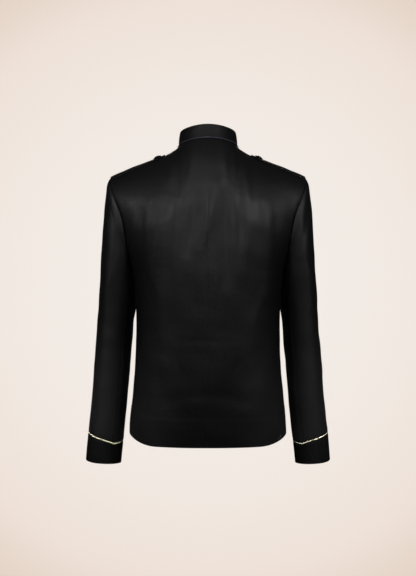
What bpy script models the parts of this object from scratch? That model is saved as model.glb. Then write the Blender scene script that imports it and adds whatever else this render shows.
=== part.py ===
"""Parade jacket with a stand collar, kept in the hollow shape it has when worn.

Metres, +Z up, the front faces -Y and the wearer's left is at +X.
The origin is the middle of the neck base, level with the sides of the neck.
Each panel is an open surface through worked-out sections, thickened outwards.
"""

import math
from collections import namedtuple

import bmesh
import bpy
import numpy as np

# Cloth, seams and trim
WALL = 0.0020
SEAM_GAP = 0.0003
CUFF_PIPING_RADIUS = 0.0015
NECK_PIPING_RADIUS = 0.0010
NECK_PIPING_EASE = 0.0006
BUTTON_RADIUS = 0.0095
BUTTON_HEIGHT = 0.0042
BUTTON_EASE = 0.0006

# Half of a button's outline, in shares of its radius and height
Turned = namedtuple("Turned", "radius height")
BUTTON_PROFILE = (
    Turned(0.00, 1.00),
    Turned(0.40, 0.94),
    Turned(0.74, 0.72),
    Turned(0.94, 0.42),
    Turned(1.00, 0.20),
    Turned(0.93, 0.00),
    Turned(0.00, 0.00),
)

# Body, measured to the inside of the cloth. Above the underarm the half width
# is that of the section as it would run on past the armhole.
Section = namedtuple("Section", "height half_width back_depth front_depth")
BODY = (
    Section(-0.670, 0.1752, 0.1150, 0.1190),
    Section(-0.620, 0.1736, 0.1150, 0.1180),
    Section(-0.560, 0.1680, 0.1145, 0.1150),
    Section(-0.490, 0.1622, 0.1130, 0.1125),
    Section(-0.420, 0.1600, 0.1130, 0.1120),
    Section(-0.380, 0.1606, 0.1155, 0.1145),
    Section(-0.340, 0.1630, 0.1195, 0.1180),
    Section(-0.285, 0.1685, 0.1235, 0.1225),
    Section(-0.260, 0.1760, 0.1240, 0.1235),
    Section(-0.224, 0.1930, 0.1235, 0.1240),
    Section(-0.177, 0.2160, 0.1220, 0.1235),
    Section(-0.145, 0.2410, 0.1200, 0.1225),
    Section(-0.108, 0.2770, 0.1170, 0.1210),
    Section(-0.070, 0.3120, 0.1145, 0.1195),
    Section(0.060, 0.3700, 0.1120, 0.1180),
)
SQUARENESS = 2.4

# Shoulder line from the neck outwards, and the line it would follow inside the
# neck opening, behind and in front. It starts past the middle line, where it is
# level.
Ridge = namedtuple("Ridge", "out back front")
SHOULDER = (
    Ridge(-0.0145, 0.0528, 0.0089),
    Ridge(0.0000, 0.0554, 0.0096),
    Ridge(0.0145, 0.0528, 0.0089),
    Ridge(0.0290, 0.0450, 0.0064),
    Ridge(0.0485, 0.0262, 0.0020),
    Ridge(0.0585, 0.0123, 0.0000),
    Ridge(0.0645, -0.0008, -0.0008),
    Ridge(0.075, -0.0095, -0.0095),
    Ridge(0.093, -0.0200, -0.0200),
    Ridge(0.130, -0.0355, -0.0355),
    Ridge(0.175, -0.0528, -0.0528),
    Ridge(0.208, -0.0662, -0.0662),
    Ridge(0.220, -0.0725, -0.0725),
    Ridge(0.240, -0.0835, -0.0835),
)
SHOULDER_ROUNDNESS = 1.7
NECK_HALF_WIDTH = 0.0645

Face = namedtuple("Face", "way depth ridge shoulder_fall neck_depth")
BACK = Face(1, "back_depth", "back", 0.160, 0.068)
FRONT = Face(-1, "front_depth", "front", 0.140, 0.076)

# Armhole edge
Armhole = namedtuple("Armhole", "height out")
ARMHOLE = (
    Armhole(-0.2850, 0.1685),
    Armhole(-0.2600, 0.1712),
    Armhole(-0.2240, 0.1770),
    Armhole(-0.1770, 0.1850),
    Armhole(-0.1450, 0.1950),
    Armhole(-0.1080, 0.2105),
    Armhole(-0.0850, 0.2175),
    Armhole(-0.0725, 0.2200),
)
UNDERARM = ARMHOLE[0].height
SHOULDER_POINT = ARMHOLE[-1].height

# Hem and centre front
HEM_HEIGHT = -0.6640
HEM_SIDE_RISE = 0.0205
HEM_RISE_START = 0.40
LAP_HALF_WIDTH = 0.019
LAP_GAP = 0.0005
LAP_FLAT_END = 0.029
LAP_END = 0.056

# Soft folds of the cloth, from one end to the other. A ridge is positive. They
# fade over this share of a panel below its top edge.
FOLD_TOP_FADE = 0.12
Fold = namedtuple("Fold", "out_1 height_1 out_2 height_2 spread lift")
BACK_FOLDS = (
    Fold(-0.017, -0.116, 0.017, -0.220, 0.015, 0.0022),
    Fold(0.091, -0.126, 0.116, -0.219, 0.014, -0.0026),
    Fold(0.028, -0.140, 0.041, -0.220, 0.012, -0.0018),
    Fold(-0.037, -0.140, -0.041, -0.278, 0.014, -0.0024),
    Fold(-0.100, -0.135, -0.110, -0.200, 0.014, -0.0020),
    Fold(0.147, -0.165, 0.145, -0.205, 0.012, -0.0030),
    Fold(-0.147, -0.170, -0.146, -0.215, 0.012, -0.0024),
    Fold(0.126, -0.154, 0.131, -0.209, 0.010, 0.0016),
    Fold(-0.131, -0.188, -0.128, -0.317, 0.012, 0.0020),
    Fold(-0.080, -0.220, -0.078, -0.264, 0.012, 0.0016),
    Fold(0.050, -0.433, -0.022, -0.436, 0.010, -0.0012),
    Fold(0.075, -0.552, -0.072, -0.556, 0.016, -0.0014),
)
FRONT_FOLDS = (
    Fold(0.150, -0.175, 0.118, -0.232, 0.014, -0.0028),
    Fold(-0.149, -0.180, -0.121, -0.240, 0.014, -0.0026),
    Fold(0.130, -0.215, 0.100, -0.290, 0.014, 0.0020),
    Fold(-0.128, -0.220, -0.104, -0.285, 0.014, 0.0018),
    Fold(0.090, -0.415, 0.030, -0.432, 0.013, -0.0014),
    Fold(-0.085, -0.405, -0.030, -0.425, 0.013, -0.0016),
    Fold(0.110, -0.500, 0.085, -0.600, 0.016, 0.0014),
    Fold(-0.112, -0.510, -0.090, -0.605, 0.016, 0.0012),
)

# Sleeve rings below the armhole, measured to the inside of the cloth: how far
# down the sleeve, where the outer and inner lines pass, and half the depth.
Ring = namedtuple(
    "Ring", "along outer_x outer_y outer_z inner_x inner_y inner_z half_depth"
)
SLEEVE = (
    Ring(0.014, 0.2242, 0.000, -0.0855, 0.1742, -0.004, -0.296, 0.0700),
    Ring(0.036, 0.2287, 0.001, -0.115, 0.1712, -0.014, -0.312, 0.0740),
    Ring(0.073, 0.2330, 0.003, -0.165, 0.1682, -0.024, -0.333, 0.0750),
    Ring(0.125, 0.2377, 0.004, -0.235, 0.1674, -0.031, -0.362, 0.0730),
    Ring(0.180, 0.2420, 0.003, -0.310, 0.1722, -0.033, -0.400, 0.0695),
    Ring(0.240, 0.2468, 0.000, -0.385, 0.1762, -0.032, -0.445, 0.0660),
    Ring(0.300, 0.2530, -0.006, -0.460, 0.1802, -0.033, -0.495, 0.0620),
    Ring(0.368, 0.2598, -0.016, -0.535, 0.1857, -0.037, -0.555, 0.0580),
    Ring(0.433, 0.2674, -0.030, -0.605, 0.1917, -0.044, -0.615, 0.0545),
    Ring(0.492, 0.2750, -0.043, -0.665, 0.1985, -0.051, -0.670, 0.0515),
    Ring(0.552, 0.2826, -0.058, -0.730, 0.2048, -0.060, -0.730, 0.0500),
)
SLEEVE_SQUARENESS = 2.15
HINDARM_ANGLE = math.radians(124)
SLEEVE_HEAD_EASE = 0.0050

# Cuff: its seam is high on the outer side and lowest at the two sleeve seams
CUFF_SEAM_OUTER = -0.6485
CUFF_SEAM_LOWEST = -0.6725
CUFF_SEAM_INNER = -0.6712
CUFF_SEAM_BEND = 1.7
CUFF_BOTTOM_OUTER = -0.7130
CUFF_BOTTOM_INNER = -0.7232
CUFF_SEAM_EASE = 0.0005
CUFF_SEAM_CUT = CUFF_PIPING_RADIUS + CUFF_SEAM_EASE

# Stand collar
COLLAR_LIFT = 0.0028
COLLAR_BACK_HEIGHT = 0.0310
COLLAR_FRONT_HEIGHT = 0.0420
COLLAR_TOP_INSET = 0.0030
COLLAR_BOW = 0.0008
COLLAR_OPENING = 0.0006

# Shoulder straps
STRAP_OUTER_END = 0.2175
STRAP_SQUARE_END = 0.1120
STRAP_POINT = 0.0955
STRAP_OUTER_HALF_WIDTH = 0.0250
STRAP_INNER_HALF_WIDTH = 0.0205
STRAP_POINT_BEND = 1.6
STRAP_BUTTON_OUT = 0.1135
STRAP_EASE = 0.0004

# Front buttons, from the top down
FRONT_BUTTONS = 7
FIRST_BUTTON_HEIGHT = -0.085
LAST_BUTTON_HEIGHT = -0.590
BUTTON_FACING_SPAN = 0.008

# Fineness of the surfaces
BODY_COLUMNS = 15
NECK_COLUMNS = 7
BODY_LOWER_ROWS = 10
BODY_UPPER_ROWS = 11
HEM_ROWS = 3
TOP_SLEEVE_COLUMNS = 14
UNDER_SLEEVE_COLUMNS = 6
SLEEVE_ROWS = 18
CUFF_ROWS = 3
COLLAR_ROWS = 3
STRAP_ROWS = 6
STRAP_COLUMNS = 9
BUTTON_STEPS = 16
CENTRE_BUNCHING = 1.2
SLEEVE_BUNCHING = 1.25
LINE_SAMPLES = 400
HEIGHT_TRIES = 8


def through(stations, values, places):
    """Values at the places on a smooth curve through the stations, with no overshoot."""
    stations = np.asarray(stations, float)
    values = np.asarray(values, float)
    places = np.asarray(places, float)
    step = np.diff(stations).reshape((-1, *[1] * (values.ndim - 1)))
    slope = np.diff(values, axis=0) / step
    tangent = np.empty_like(values)
    tangent[0] = slope[0]
    tangent[-1] = slope[-1]
    product = slope[:-1] * slope[1:]
    total = np.where(product > 0, slope[:-1] + slope[1:], 1)
    tangent[1:-1] = np.where(product > 0, 2 * product / total, 0)
    low = np.clip(np.searchsorted(stations, places, "right") - 1, 0, len(stations) - 2)
    span = stations[low + 1] - stations[low]
    part = np.clip((places - stations[low]) / span, 0, 1)
    extra = [1] * (values.ndim - 1)
    span = span.reshape((*places.shape, *extra))
    part = part.reshape((*places.shape, *extra))
    start = values[low] * (1 + 2 * part) * (1 - part) ** 2
    end = values[low + 1] * part**2 * (3 - 2 * part)
    leave = tangent[low] * span * part * (1 - part) ** 2
    arrive = tangent[low + 1] * span * part**2 * (part - 1)
    return start + end + leave + arrive


def column(table, name):
    return [getattr(row, name) for row in table]


def table_value(table, key, name, places):
    return through(column(table, key), column(table, name), places)


def eased(part):
    """Zero to one with a level start and end."""
    part = np.clip(part, 0, 1)
    return part * part * (3 - 2 * part)


def shoulder_round(fall, face):
    """Share of the full depth reached at this fall below the shoulder line."""
    left = 1 - np.clip(fall / face.shoulder_fall, 0, 1)
    return (1 - left**SHOULDER_ROUNDNESS) ** (1 / SHOULDER_ROUNDNESS)


def fold_lift(out, height, folds):
    """How far the folds lift the cloth at these places."""
    lift = np.zeros_like(out)
    for fold in folds:
        run_x = fold.out_2 - fold.out_1
        run_z = fold.height_2 - fold.height_1
        length = math.hypot(run_x, run_z)
        along = ((out - fold.out_1) * run_x + (height - fold.height_1) * run_z) / length
        across = ((out - fold.out_1) * run_z - (height - fold.height_1) * run_x) / length
        past = np.maximum(0, np.maximum(-along, along - length))
        lift += fold.lift * np.exp(-((across / fold.spread) ** 2) - (past / fold.spread / 2) ** 2)
    return lift


def angle_at(out, height):
    """Angle on the body's section at this distance out from the middle."""
    share = np.clip(np.abs(out) / table_value(BODY, "height", "half_width", height), 0, 1)
    return np.sign(out) * np.arcsin(share ** (SQUARENESS / 2))


def body_points(angle, height, face):
    """Points of the body's inside at these angles and heights."""
    half_width = table_value(BODY, "height", "half_width", height)
    depth = table_value(BODY, "height", face.depth, height)
    power = 2 / SQUARENESS
    out = half_width * np.sign(angle) * np.abs(np.sin(angle)) ** power
    fall = table_value(SHOULDER, "out", face.ridge, np.abs(out)) - height
    reach = depth * np.abs(np.cos(angle)) ** power * shoulder_round(fall, face)
    return np.stack([out, face.way * reach, height], axis=-1)


def top_height(out, reach, face):
    """Height of the body's inside at a place on the shoulder or round the neck."""
    out = np.asarray(out, float)
    ridge = table_value(SHOULDER, "out", face.ridge, np.abs(out))
    height = ridge
    for _ in range(HEIGHT_TRIES):
        half_width = table_value(BODY, "height", "half_width", height)
        depth = table_value(BODY, "height", face.depth, height)
        section = (1 - (np.abs(out) / half_width) ** SQUARENESS) ** (1 / SQUARENESS)
        share = np.clip(np.abs(reach) / (depth * section), 0, 0.99)
        left = (1 - share**SHOULDER_ROUNDNESS) ** (1 / SHOULDER_ROUNDNESS)
        height = ridge - face.shoulder_fall * (1 - left)
    return height


def neck_points(angle, face):
    """Points of the neck edge. The angle runs from the middle, 0, to the side."""
    out = NECK_HALF_WIDTH * np.sin(angle)
    reach = face.neck_depth * np.cos(angle)
    return np.stack([out, face.way * reach, top_height(out, reach, face)], axis=-1)


def armhole_out(height):
    return table_value(ARMHOLE, "height", "out", height)


def armhole_height(part):
    """Height along the armhole, from the underarm, 0, to the shoulder point, 1."""
    return UNDERARM + (SHOULDER_POINT - UNDERARM) * (1 - np.cos(np.pi * part)) / 2


def body_grid(face):
    """Rows of points from the hem up, each from the middle line to the side."""
    share = np.linspace(0, 1, BODY_COLUMNS + 1)
    neck = neck_points(np.linspace(0, math.pi / 2, NECK_COLUMNS + 1), face)
    shoulder_out = np.linspace(
        NECK_HALF_WIDTH, armhole_out(SHOULDER_POINT), BODY_COLUMNS - NECK_COLUMNS + 1
    )[1:]
    top_out = np.concatenate([neck[:, 0], shoulder_out])
    top_z = np.concatenate([neck[:, 2], top_height(shoulder_out, 0 * shoulder_out, face)])
    top_angle = angle_at(top_out, top_z)
    top_z_even = top_z[0] + (top_z[-1] - top_z[0]) * share

    rows = []
    for row in range(BODY_LOWER_ROWS):
        part = row / BODY_LOWER_ROWS
        height = HEM_HEIGHT + (UNDERARM - HEM_HEIGHT) * part
        hem = HEM_SIDE_RISE * max(0, 1 - row / HEM_ROWS)
        height = height + hem * eased((share - HEM_RISE_START) / (1 - HEM_RISE_START))
        rows.append(body_points(math.pi / 2 * share, height, face))
    for row in range(BODY_UPPER_ROWS + 1):
        part = row / BODY_UPPER_ROWS
        edge_z = armhole_height(part)
        centre_z = UNDERARM + (top_z[0] - UNDERARM) * (1 - (1 - part) ** CENTRE_BUNCHING)
        blend = part**2
        height = centre_z + (edge_z - centre_z) * share + blend * (top_z - top_z_even)
        angle = angle_at(armhole_out(edge_z), edge_z) * share
        angle = angle + blend * (top_angle - top_angle[-1] * share)
        rows.append(body_points(angle, height, face))
    return np.array(rows)


def with_lap(grid):
    """The front with one more column, as far past the middle line as it laps."""
    middle = grid[:, :1]
    part = LAP_HALF_WIDTH / grid[:, 1:2, :1]
    lap = (middle + (grid[:, 1:2] - middle) * part) * [-1, 1, 1]
    return np.concatenate([lap, grid], axis=1)


def normals(grid, closed=False):
    """Unit normals of a grid, to the right of its rows seen going up its columns."""
    if closed:
        along = np.roll(grid, -1, axis=1) - np.roll(grid, 1, axis=1)
    else:
        along = np.gradient(grid, axis=1)
    across = np.gradient(grid, axis=0)
    normal = np.cross(along, across)
    return normal / np.maximum(np.linalg.norm(normal, axis=-1, keepdims=True), 1e-12)


def parted(grid, half=SEAM_GAP / 2, first_row=True, last_row=True):
    """The grid with its edges drawn back by half a seam gap or more."""
    grid = grid.copy()

    def draw_back(edge, inner):
        way = inner - edge
        return edge + half * way / np.linalg.norm(way, axis=-1, keepdims=True)

    if first_row:
        grid[0] = draw_back(grid[0], grid[1])
    if last_row:
        grid[-1] = draw_back(grid[-1], grid[-2])
    grid[:, 0] = draw_back(grid[:, 0], grid[:, 1])
    grid[:, -1] = draw_back(grid[:, -1], grid[:, -2])
    return grid


def mirrored(grid):
    """The grid for the wearer's right side, with its faces still outwards."""
    return (grid * np.array([-1, 1, 1]))[:, ::-1]


def material(name, colour, roughness, metallic=0.0):
    made = bpy.data.materials.new(name)
    made.use_nodes = True
    shader = made.node_tree.nodes["Principled BSDF"]
    shader.inputs["Base Color"].default_value = (*colour, 1)
    shader.inputs["Roughness"].default_value = roughness
    shader.inputs["Metallic"].default_value = metallic
    made.diffuse_color = (*colour, 1)
    return made


def add_object(name, data, finish, collection):
    made = bpy.data.objects.new(name, data)
    made.data.materials.append(finish)
    collection.objects.link(made)
    return made


def cloth(name, grid, finish, collection, closed=False):
    """A panel through the grid's points, thickened outwards."""
    shape = bmesh.new()
    rows = [[shape.verts.new(point) for point in row] for row in grid]
    wide = len(rows[0])
    for low, high in zip(rows, rows[1:]):
        for i in range(wide if closed else wide - 1):
            j = (i + 1) % wide
            shape.faces.new((low[i], low[j], high[j], high[i]))
    mesh = bpy.data.meshes.new(name)
    shape.to_mesh(mesh)
    shape.free()
    mesh.shade_smooth()
    panel = add_object(name, mesh, finish, collection)
    wall = panel.modifiers.new("Wall", "SOLIDIFY")
    wall.thickness = WALL
    wall.offset = 1
    return panel


def piping(name, points, radius, finish, collection, closed=False):
    """A round cord through the points."""
    curve = bpy.data.curves.new(name, "CURVE")
    curve.dimensions = "3D"
    curve.bevel_depth = radius
    curve.bevel_resolution = 1
    curve.use_fill_caps = not closed
    line = curve.splines.new("POLY")
    line.points.add(len(points) - 1)
    for place, point in zip(line.points, points):
        place.co = (*point, 1)
    line.use_cyclic_u = closed
    return add_object(name, curve, finish, collection)


def button(name, place, facing, finish, collection):
    """A domed button: half of its outline, turned about its shank."""
    outline = [(row.radius * BUTTON_RADIUS, 0, row.height * BUTTON_HEIGHT) for row in BUTTON_PROFILE]
    edges = [(i, i + 1) for i in range(len(outline) - 1)]
    mesh = bpy.data.meshes.new(name)
    mesh.from_pydata(outline, edges, [])
    made = add_object(name, mesh, finish, collection)
    turn = made.modifiers.new("Turn", "SCREW")
    turn.axis = "Z"
    turn.steps = BUTTON_STEPS
    turn.render_steps = BUTTON_STEPS
    turn.use_merge_vertices = True
    turn.merge_threshold = 0.00001
    turn.use_smooth_shade = True
    made.location = place
    made.rotation_mode = "QUATERNION"
    up = np.array([0.0, 0.0, 1.0])
    made.rotation_quaternion = (1 + float(up @ facing), *np.cross(up, facing))
    made.rotation_quaternion.normalize()
    return made


def lap_offset(out):
    """How far the left front stands out so that it clears the right front."""
    share = (out - LAP_FLAT_END) / (LAP_END - LAP_FLAT_END)
    return (WALL + LAP_GAP) * (1 - eased(share))


def with_folds(grid, folds, face):
    """The grid with its folds, which die out at the panel's edges."""
    rows = np.linspace(0, 1, grid.shape[0])[:, None]
    edge = eased((1 - rows) / FOLD_TOP_FADE)
    lift = fold_lift(grid[..., 0], grid[..., 2], folds) * edge
    moved = grid.copy()
    moved[..., 1] += face.way * lift
    return moved


def sleeve_lines(angles):
    """Stations down the sleeve, and the points of each line at each station."""
    inner_part = (1 - np.cos(angles)) / 2
    power = 2 / SLEEVE_SQUARENESS
    across = np.sign(np.cos(angles)) * np.abs(np.cos(angles)) ** power
    through_depth = np.sign(np.sin(angles)) * np.abs(np.sin(angles)) ** power

    part = 1 - np.abs(angles) / np.pi
    height = armhole_height(part)
    out = armhole_out(height)
    section_angle = angle_at(out, height)
    behind = body_points(section_angle, height, BACK)
    before = body_points(section_angle, height, FRONT)
    armhole = np.where((angles >= 0)[:, None], behind, before)
    armhole[:, 0] += SEAM_GAP + SLEEVE_HEAD_EASE * inner_part

    stations = [0.0]
    rings = [armhole]
    for ring in SLEEVE:
        middle_x = (ring.outer_x + ring.inner_x) / 2
        half_x = (ring.outer_x - ring.inner_x) / 2
        y = ring.outer_y + (ring.inner_y - ring.outer_y) * inner_part
        z = ring.outer_z + (ring.inner_z - ring.outer_z) * inner_part
        x = middle_x + half_x * across
        stations.append(ring.along)
        rings.append(np.stack([x, y + ring.half_depth * through_depth, z], axis=-1))
    return stations, np.array(rings)


def cuff_seam_height(angles):
    """Height of the cuff seam round the sleeve."""
    turn = np.abs(angles)
    outer = CUFF_SEAM_OUTER + (CUFF_SEAM_LOWEST - CUFF_SEAM_OUTER) * (
        (turn / HINDARM_ANGLE) ** CUFF_SEAM_BEND
    )
    back_part = (turn - HINDARM_ANGLE) / (np.pi - HINDARM_ANGLE)
    inner = CUFF_SEAM_LOWEST + (CUFF_SEAM_INNER - CUFF_SEAM_LOWEST) * back_part
    return np.where(turn <= HINDARM_ANGLE, outer, inner)


def along_at_height(stations, rings, heights):
    """How far down each line of the sleeve it reaches this height."""
    fine = np.linspace(stations[0], stations[-1], LINE_SAMPLES)
    line_z = through(stations, rings[..., 2], fine)
    found = [np.interp(-height, -line_z[:, i], fine) for i, height in enumerate(heights)]
    return np.array(found)


def sleeve_grid(angles, top_heights, bottom_heights, rows, bunching=1.0):
    """Rows of points down the sleeve. A top height of None means the armhole."""
    stations, rings = sleeve_lines(angles)
    bottom = along_at_height(stations, rings, bottom_heights)
    if top_heights is None:
        top = np.zeros_like(bottom)
    else:
        top = along_at_height(stations, rings, top_heights)
    part = np.linspace(0, 1, rows + 1) ** bunching
    lines = []
    for i in range(len(angles)):
        places = top[i] + (bottom[i] - top[i]) * part
        lines.append(through(stations, rings[:, i], places))
    return np.transpose(np.array(lines), (1, 0, 2))


def make_body(finish, collection):
    flip = np.array([-1, 1, 1])
    back = body_grid(BACK)
    left_back = with_folds(back, BACK_FOLDS, BACK)
    right_back = with_folds(back * flip, BACK_FOLDS, BACK)
    cloth("back_left", parted(left_back)[:, ::-1], finish, collection)
    cloth("back_right", parted(right_back), finish, collection)

    front = with_lap(body_grid(FRONT))
    left_front = with_folds(front, FRONT_FOLDS, FRONT)
    left_front += lap_offset(left_front[..., :1]) * normals(left_front)
    right_front = with_folds(front * flip, FRONT_FOLDS, FRONT)
    cloth("front_left", parted(left_front), finish, collection)
    cloth("front_right", parted(right_front)[:, ::-1], finish, collection)


def turned_within(angles):
    """The same angles, from minus to plus half a turn."""
    return np.where(angles > np.pi, angles - 2 * np.pi, angles)


def sleeve_angles():
    """Angles across the top sleeve and the under sleeve, with its faces outwards."""
    hind = HINDARM_ANGLE
    top = np.linspace(hind, -hind, TOP_SLEEVE_COLUMNS + 1)
    under = np.linspace(2 * np.pi - hind, hind, UNDER_SLEEVE_COLUMNS + 1)
    return top, turned_within(under)


def make_sleeves(finish, collection):
    for part, angles in zip(("top_sleeve", "under_sleeve"), sleeve_angles()):
        bottom = cuff_seam_height(angles) + CUFF_SEAM_CUT
        grid = sleeve_grid(angles, None, bottom, SLEEVE_ROWS, SLEEVE_BUNCHING)
        grid = parted(grid, SEAM_GAP, first_row=False, last_row=False)
        cloth(f"{part}_left", grid, finish, collection)
        cloth(f"{part}_right", mirrored(grid), finish, collection)


def make_cuffs(finish, cord, collection):
    top, under = sleeve_angles()
    angles = np.concatenate([top, under[1:-1]])
    seam = cuff_seam_height(angles)
    bottom = CUFF_BOTTOM_OUTER + (CUFF_BOTTOM_INNER - CUFF_BOTTOM_OUTER) * np.abs(angles) / np.pi
    grid = sleeve_grid(angles, seam - CUFF_SEAM_CUT, bottom, CUFF_ROWS)
    cloth("cuff_left", grid, finish, collection, closed=True)
    cloth("cuff_right", mirrored(grid), finish, collection, closed=True)

    following = np.roll(angles, -1)
    step = np.mod(angles - following, 2 * np.pi)
    between = turned_within(np.mod(angles - step / 2, 2 * np.pi))
    around = np.stack([angles, between], axis=1).ravel()
    seam = cuff_seam_height(around)
    ring = sleeve_grid(around, seam + CUFF_SEAM_CUT, seam - CUFF_SEAM_CUT, 2)
    line = (ring + WALL / 2 * normals(ring, closed=True))[1]
    for side, flip in (("left", 1), ("right", -1)):
        name = f"cuff_piping_{side}"
        piping(name, line * [flip, 1, 1], CUFF_PIPING_RADIUS, cord, collection, closed=True)


def neck_edge():
    """Points round the neck edge from the centre front, their normals and their lap."""
    last = NECK_COLUMNS
    front = body_grid(FRONT)
    back = body_grid(BACK)
    front_facing = normals(front)[-1]
    back_facing = -normals(back)[-1]
    points = np.concatenate([front[-1, :last], back[-1, last::-1]])
    facing = np.concatenate([front_facing[:last], back_facing[last::-1]])
    facing[last] = (front_facing[last] + back_facing[last]) / 2
    flip = np.array([-1, 1, 1])
    points = np.concatenate([points, points[-2::-1] * flip])
    facing = np.concatenate([facing, facing[-2::-1] * flip])
    facing /= np.linalg.norm(facing, axis=1, keepdims=True)
    out = points[:, 0]
    beyond = eased((-out - LAP_HALF_WIDTH) / LAP_HALF_WIDTH)
    lap = np.where(out < 0, (1 - beyond) * lap_offset(0.0), lap_offset(out))
    return points, facing, lap * (points[:, 1] < 0)


def outwards(points):
    """Level directions away from the neck's middle line."""
    level = points * [1, 1, 0]
    return level / np.linalg.norm(level, axis=1, keepdims=True)


def opened(points):
    """The ring with its two ends drawn apart at the centre front."""
    points = points.copy()
    points[0, 0] += COLLAR_OPENING / 2
    points[-1, 0] -= COLLAR_OPENING / 2
    return points


def make_collar(finish, collection):
    base, _, lap = neck_edge()
    frontness = np.maximum(0, np.cos(np.linspace(0, 2 * np.pi, len(base))))
    height = COLLAR_BACK_HEIGHT + (COLLAR_FRONT_HEIGHT - COLLAR_BACK_HEIGHT) * frontness
    rows = []
    for part in np.linspace(0, 1, COLLAR_ROWS + 1):
        foot = COLLAR_LIFT + lap / 2
        lift = foot + (height - foot) * part
        bow = COLLAR_BOW * math.sin(math.pi * part) - COLLAR_TOP_INSET * part
        row = base + lift[:, None] * [0, 0, 1] + bow * outwards(base)
        rows.append(opened(row))
    cloth("collar", np.array(rows), finish, collection)


def make_neck_piping(finish, collection):
    base, facing, lap = neck_edge()
    outward = outwards(base)
    reach = WALL + NECK_PIPING_EASE + NECK_PIPING_RADIUS
    level = np.sum(facing * outward, axis=1)
    lift = (reach + lap - level * reach) / facing[:, 2]
    line = base + reach * outward + lift[:, None] * [0, 0, 1]
    piping("neck_piping", opened(line), NECK_PIPING_RADIUS, finish, collection)


def strap_grid():
    """Points of the shoulder under the strap, from its outer end to its point."""
    length = STRAP_OUTER_END - STRAP_POINT
    rows = []
    for part in np.linspace(-1, 1, STRAP_ROWS + 1):
        end = STRAP_POINT + (STRAP_SQUARE_END - STRAP_POINT) * abs(part) ** STRAP_POINT_BEND
        out = np.linspace(STRAP_OUTER_END, end, STRAP_COLUMNS + 1)
        share = (STRAP_OUTER_END - out) / length
        half = STRAP_OUTER_HALF_WIDTH + (STRAP_INNER_HALF_WIDTH - STRAP_OUTER_HALF_WIDTH) * share
        reach = part * half
        face = BACK if part >= 0 else FRONT
        height = top_height(out, reach, face)
        rows.append(np.stack([out, reach, height], axis=-1))
    return np.array(rows)


def make_straps(finish, button_finish, collection):
    grid = strap_grid()
    lift = WALL + SEAM_GAP + STRAP_EASE
    facing = -normals(grid)
    strap = (grid + lift * facing)[:, ::-1]
    cloth("shoulder_strap_left", strap, finish, collection)
    cloth("shoulder_strap_right", mirrored(strap), finish, collection)

    middle = STRAP_ROWS // 2
    at = int(np.argmin(np.abs(grid[middle, :, 0] - STRAP_BUTTON_OUT)))
    up = facing[middle, at]
    place = np.array([STRAP_BUTTON_OUT, 0, float(top_height(STRAP_BUTTON_OUT, 0.0, BACK))])
    place = place + (lift + WALL + BUTTON_EASE) * up
    button("strap_button_left", place, up, button_finish, collection)
    flip = np.array([-1, 1, 1])
    button("strap_button_right", place * flip, up * flip, button_finish, collection)


def make_front_buttons(finish, collection):
    heights = np.linspace(FIRST_BUTTON_HEIGHT, LAST_BUTTON_HEIGHT, FRONT_BUTTONS)
    for number, height in enumerate(heights, 1):
        levels = height + BUTTON_FACING_SPAN * np.array([-0.5, 0, 0.5])
        line = body_points(np.zeros(3), levels, FRONT)
        line[:, 1] -= fold_lift(line[:, 0], line[:, 2], FRONT_FOLDS)
        rise = line[2] - line[0]
        facing = np.array([0, -rise[2], rise[1]]) / np.linalg.norm(rise)
        place = line[1] + (2 * WALL + LAP_GAP + BUTTON_EASE) * facing
        button(f"front_button_{number}", place, facing, finish, collection)


def main():
    for old in list(bpy.data.objects):
        bpy.data.objects.remove(old)
    jacket = bpy.data.collections.new("parade_jacket")
    bpy.context.scene.collection.children.link(jacket)

    satin = material("black_satin", (0.012, 0.012, 0.012), 0.45)
    cuff_cloth = material("cuff_cloth", (0.007, 0.007, 0.007), 0.6)
    collar_cloth = material("collar_cloth", (0.010, 0.010, 0.010), 0.5)
    gold_cord = material("gold_cord", (0.78, 0.72, 0.46), 0.4)
    neck_cord = material("neck_cord", (0.035, 0.033, 0.045), 0.4)
    black_button = material("black_button", (0.006, 0.006, 0.006), 0.35)

    make_body(satin, jacket)
    make_sleeves(satin, jacket)
    make_cuffs(cuff_cloth, gold_cord, jacket)
    make_collar(collar_cloth, jacket)
    make_neck_piping(neck_cord, jacket)
    make_straps(satin, black_button, jacket)
    make_front_buttons(black_button, jacket)


main()
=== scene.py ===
"""Parade jacket with a stand collar, shown from behind in the hollow shape it has when worn.

Metres, +Z up, the front faces -Y and the wearer's left is at +X.
The origin is the middle of the neck base, level with the sides of the neck.
"""

import math
from collections import namedtuple

import bpy
import numpy as np
from mathutils import Matrix, Vector


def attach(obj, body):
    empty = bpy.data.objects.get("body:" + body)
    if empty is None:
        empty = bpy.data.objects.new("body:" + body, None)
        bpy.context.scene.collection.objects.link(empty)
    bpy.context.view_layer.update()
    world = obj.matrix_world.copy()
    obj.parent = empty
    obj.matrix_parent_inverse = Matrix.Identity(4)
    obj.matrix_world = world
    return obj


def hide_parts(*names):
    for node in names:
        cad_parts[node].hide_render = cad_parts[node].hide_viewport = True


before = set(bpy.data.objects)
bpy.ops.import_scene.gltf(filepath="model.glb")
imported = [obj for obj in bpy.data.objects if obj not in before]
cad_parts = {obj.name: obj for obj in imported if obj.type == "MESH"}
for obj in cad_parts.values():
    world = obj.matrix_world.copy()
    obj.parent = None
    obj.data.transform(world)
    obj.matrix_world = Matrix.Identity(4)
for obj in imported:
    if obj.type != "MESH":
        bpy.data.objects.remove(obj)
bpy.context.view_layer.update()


# Camera, room and lights
# A seamless pale room with a painted glow, brighter straight ahead as a painted pool of
# light, and a soft light high behind the camera, two at each side, a narrow one for each
# cuff and one for the front.
CAMERA_PLACE = (0.0, 2.3, -0.319)
CAMERA_LENS = 63.47
CAMERA_REACH = 40
ROOM_RADIUS = 7.0
ROOM_SIDES = 64
ROOM_FLOOR = -3.2
AIR_COLOUR = (1.0, 0.97, 0.94, 1)
AIR_STRENGTH = 0.024
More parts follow.
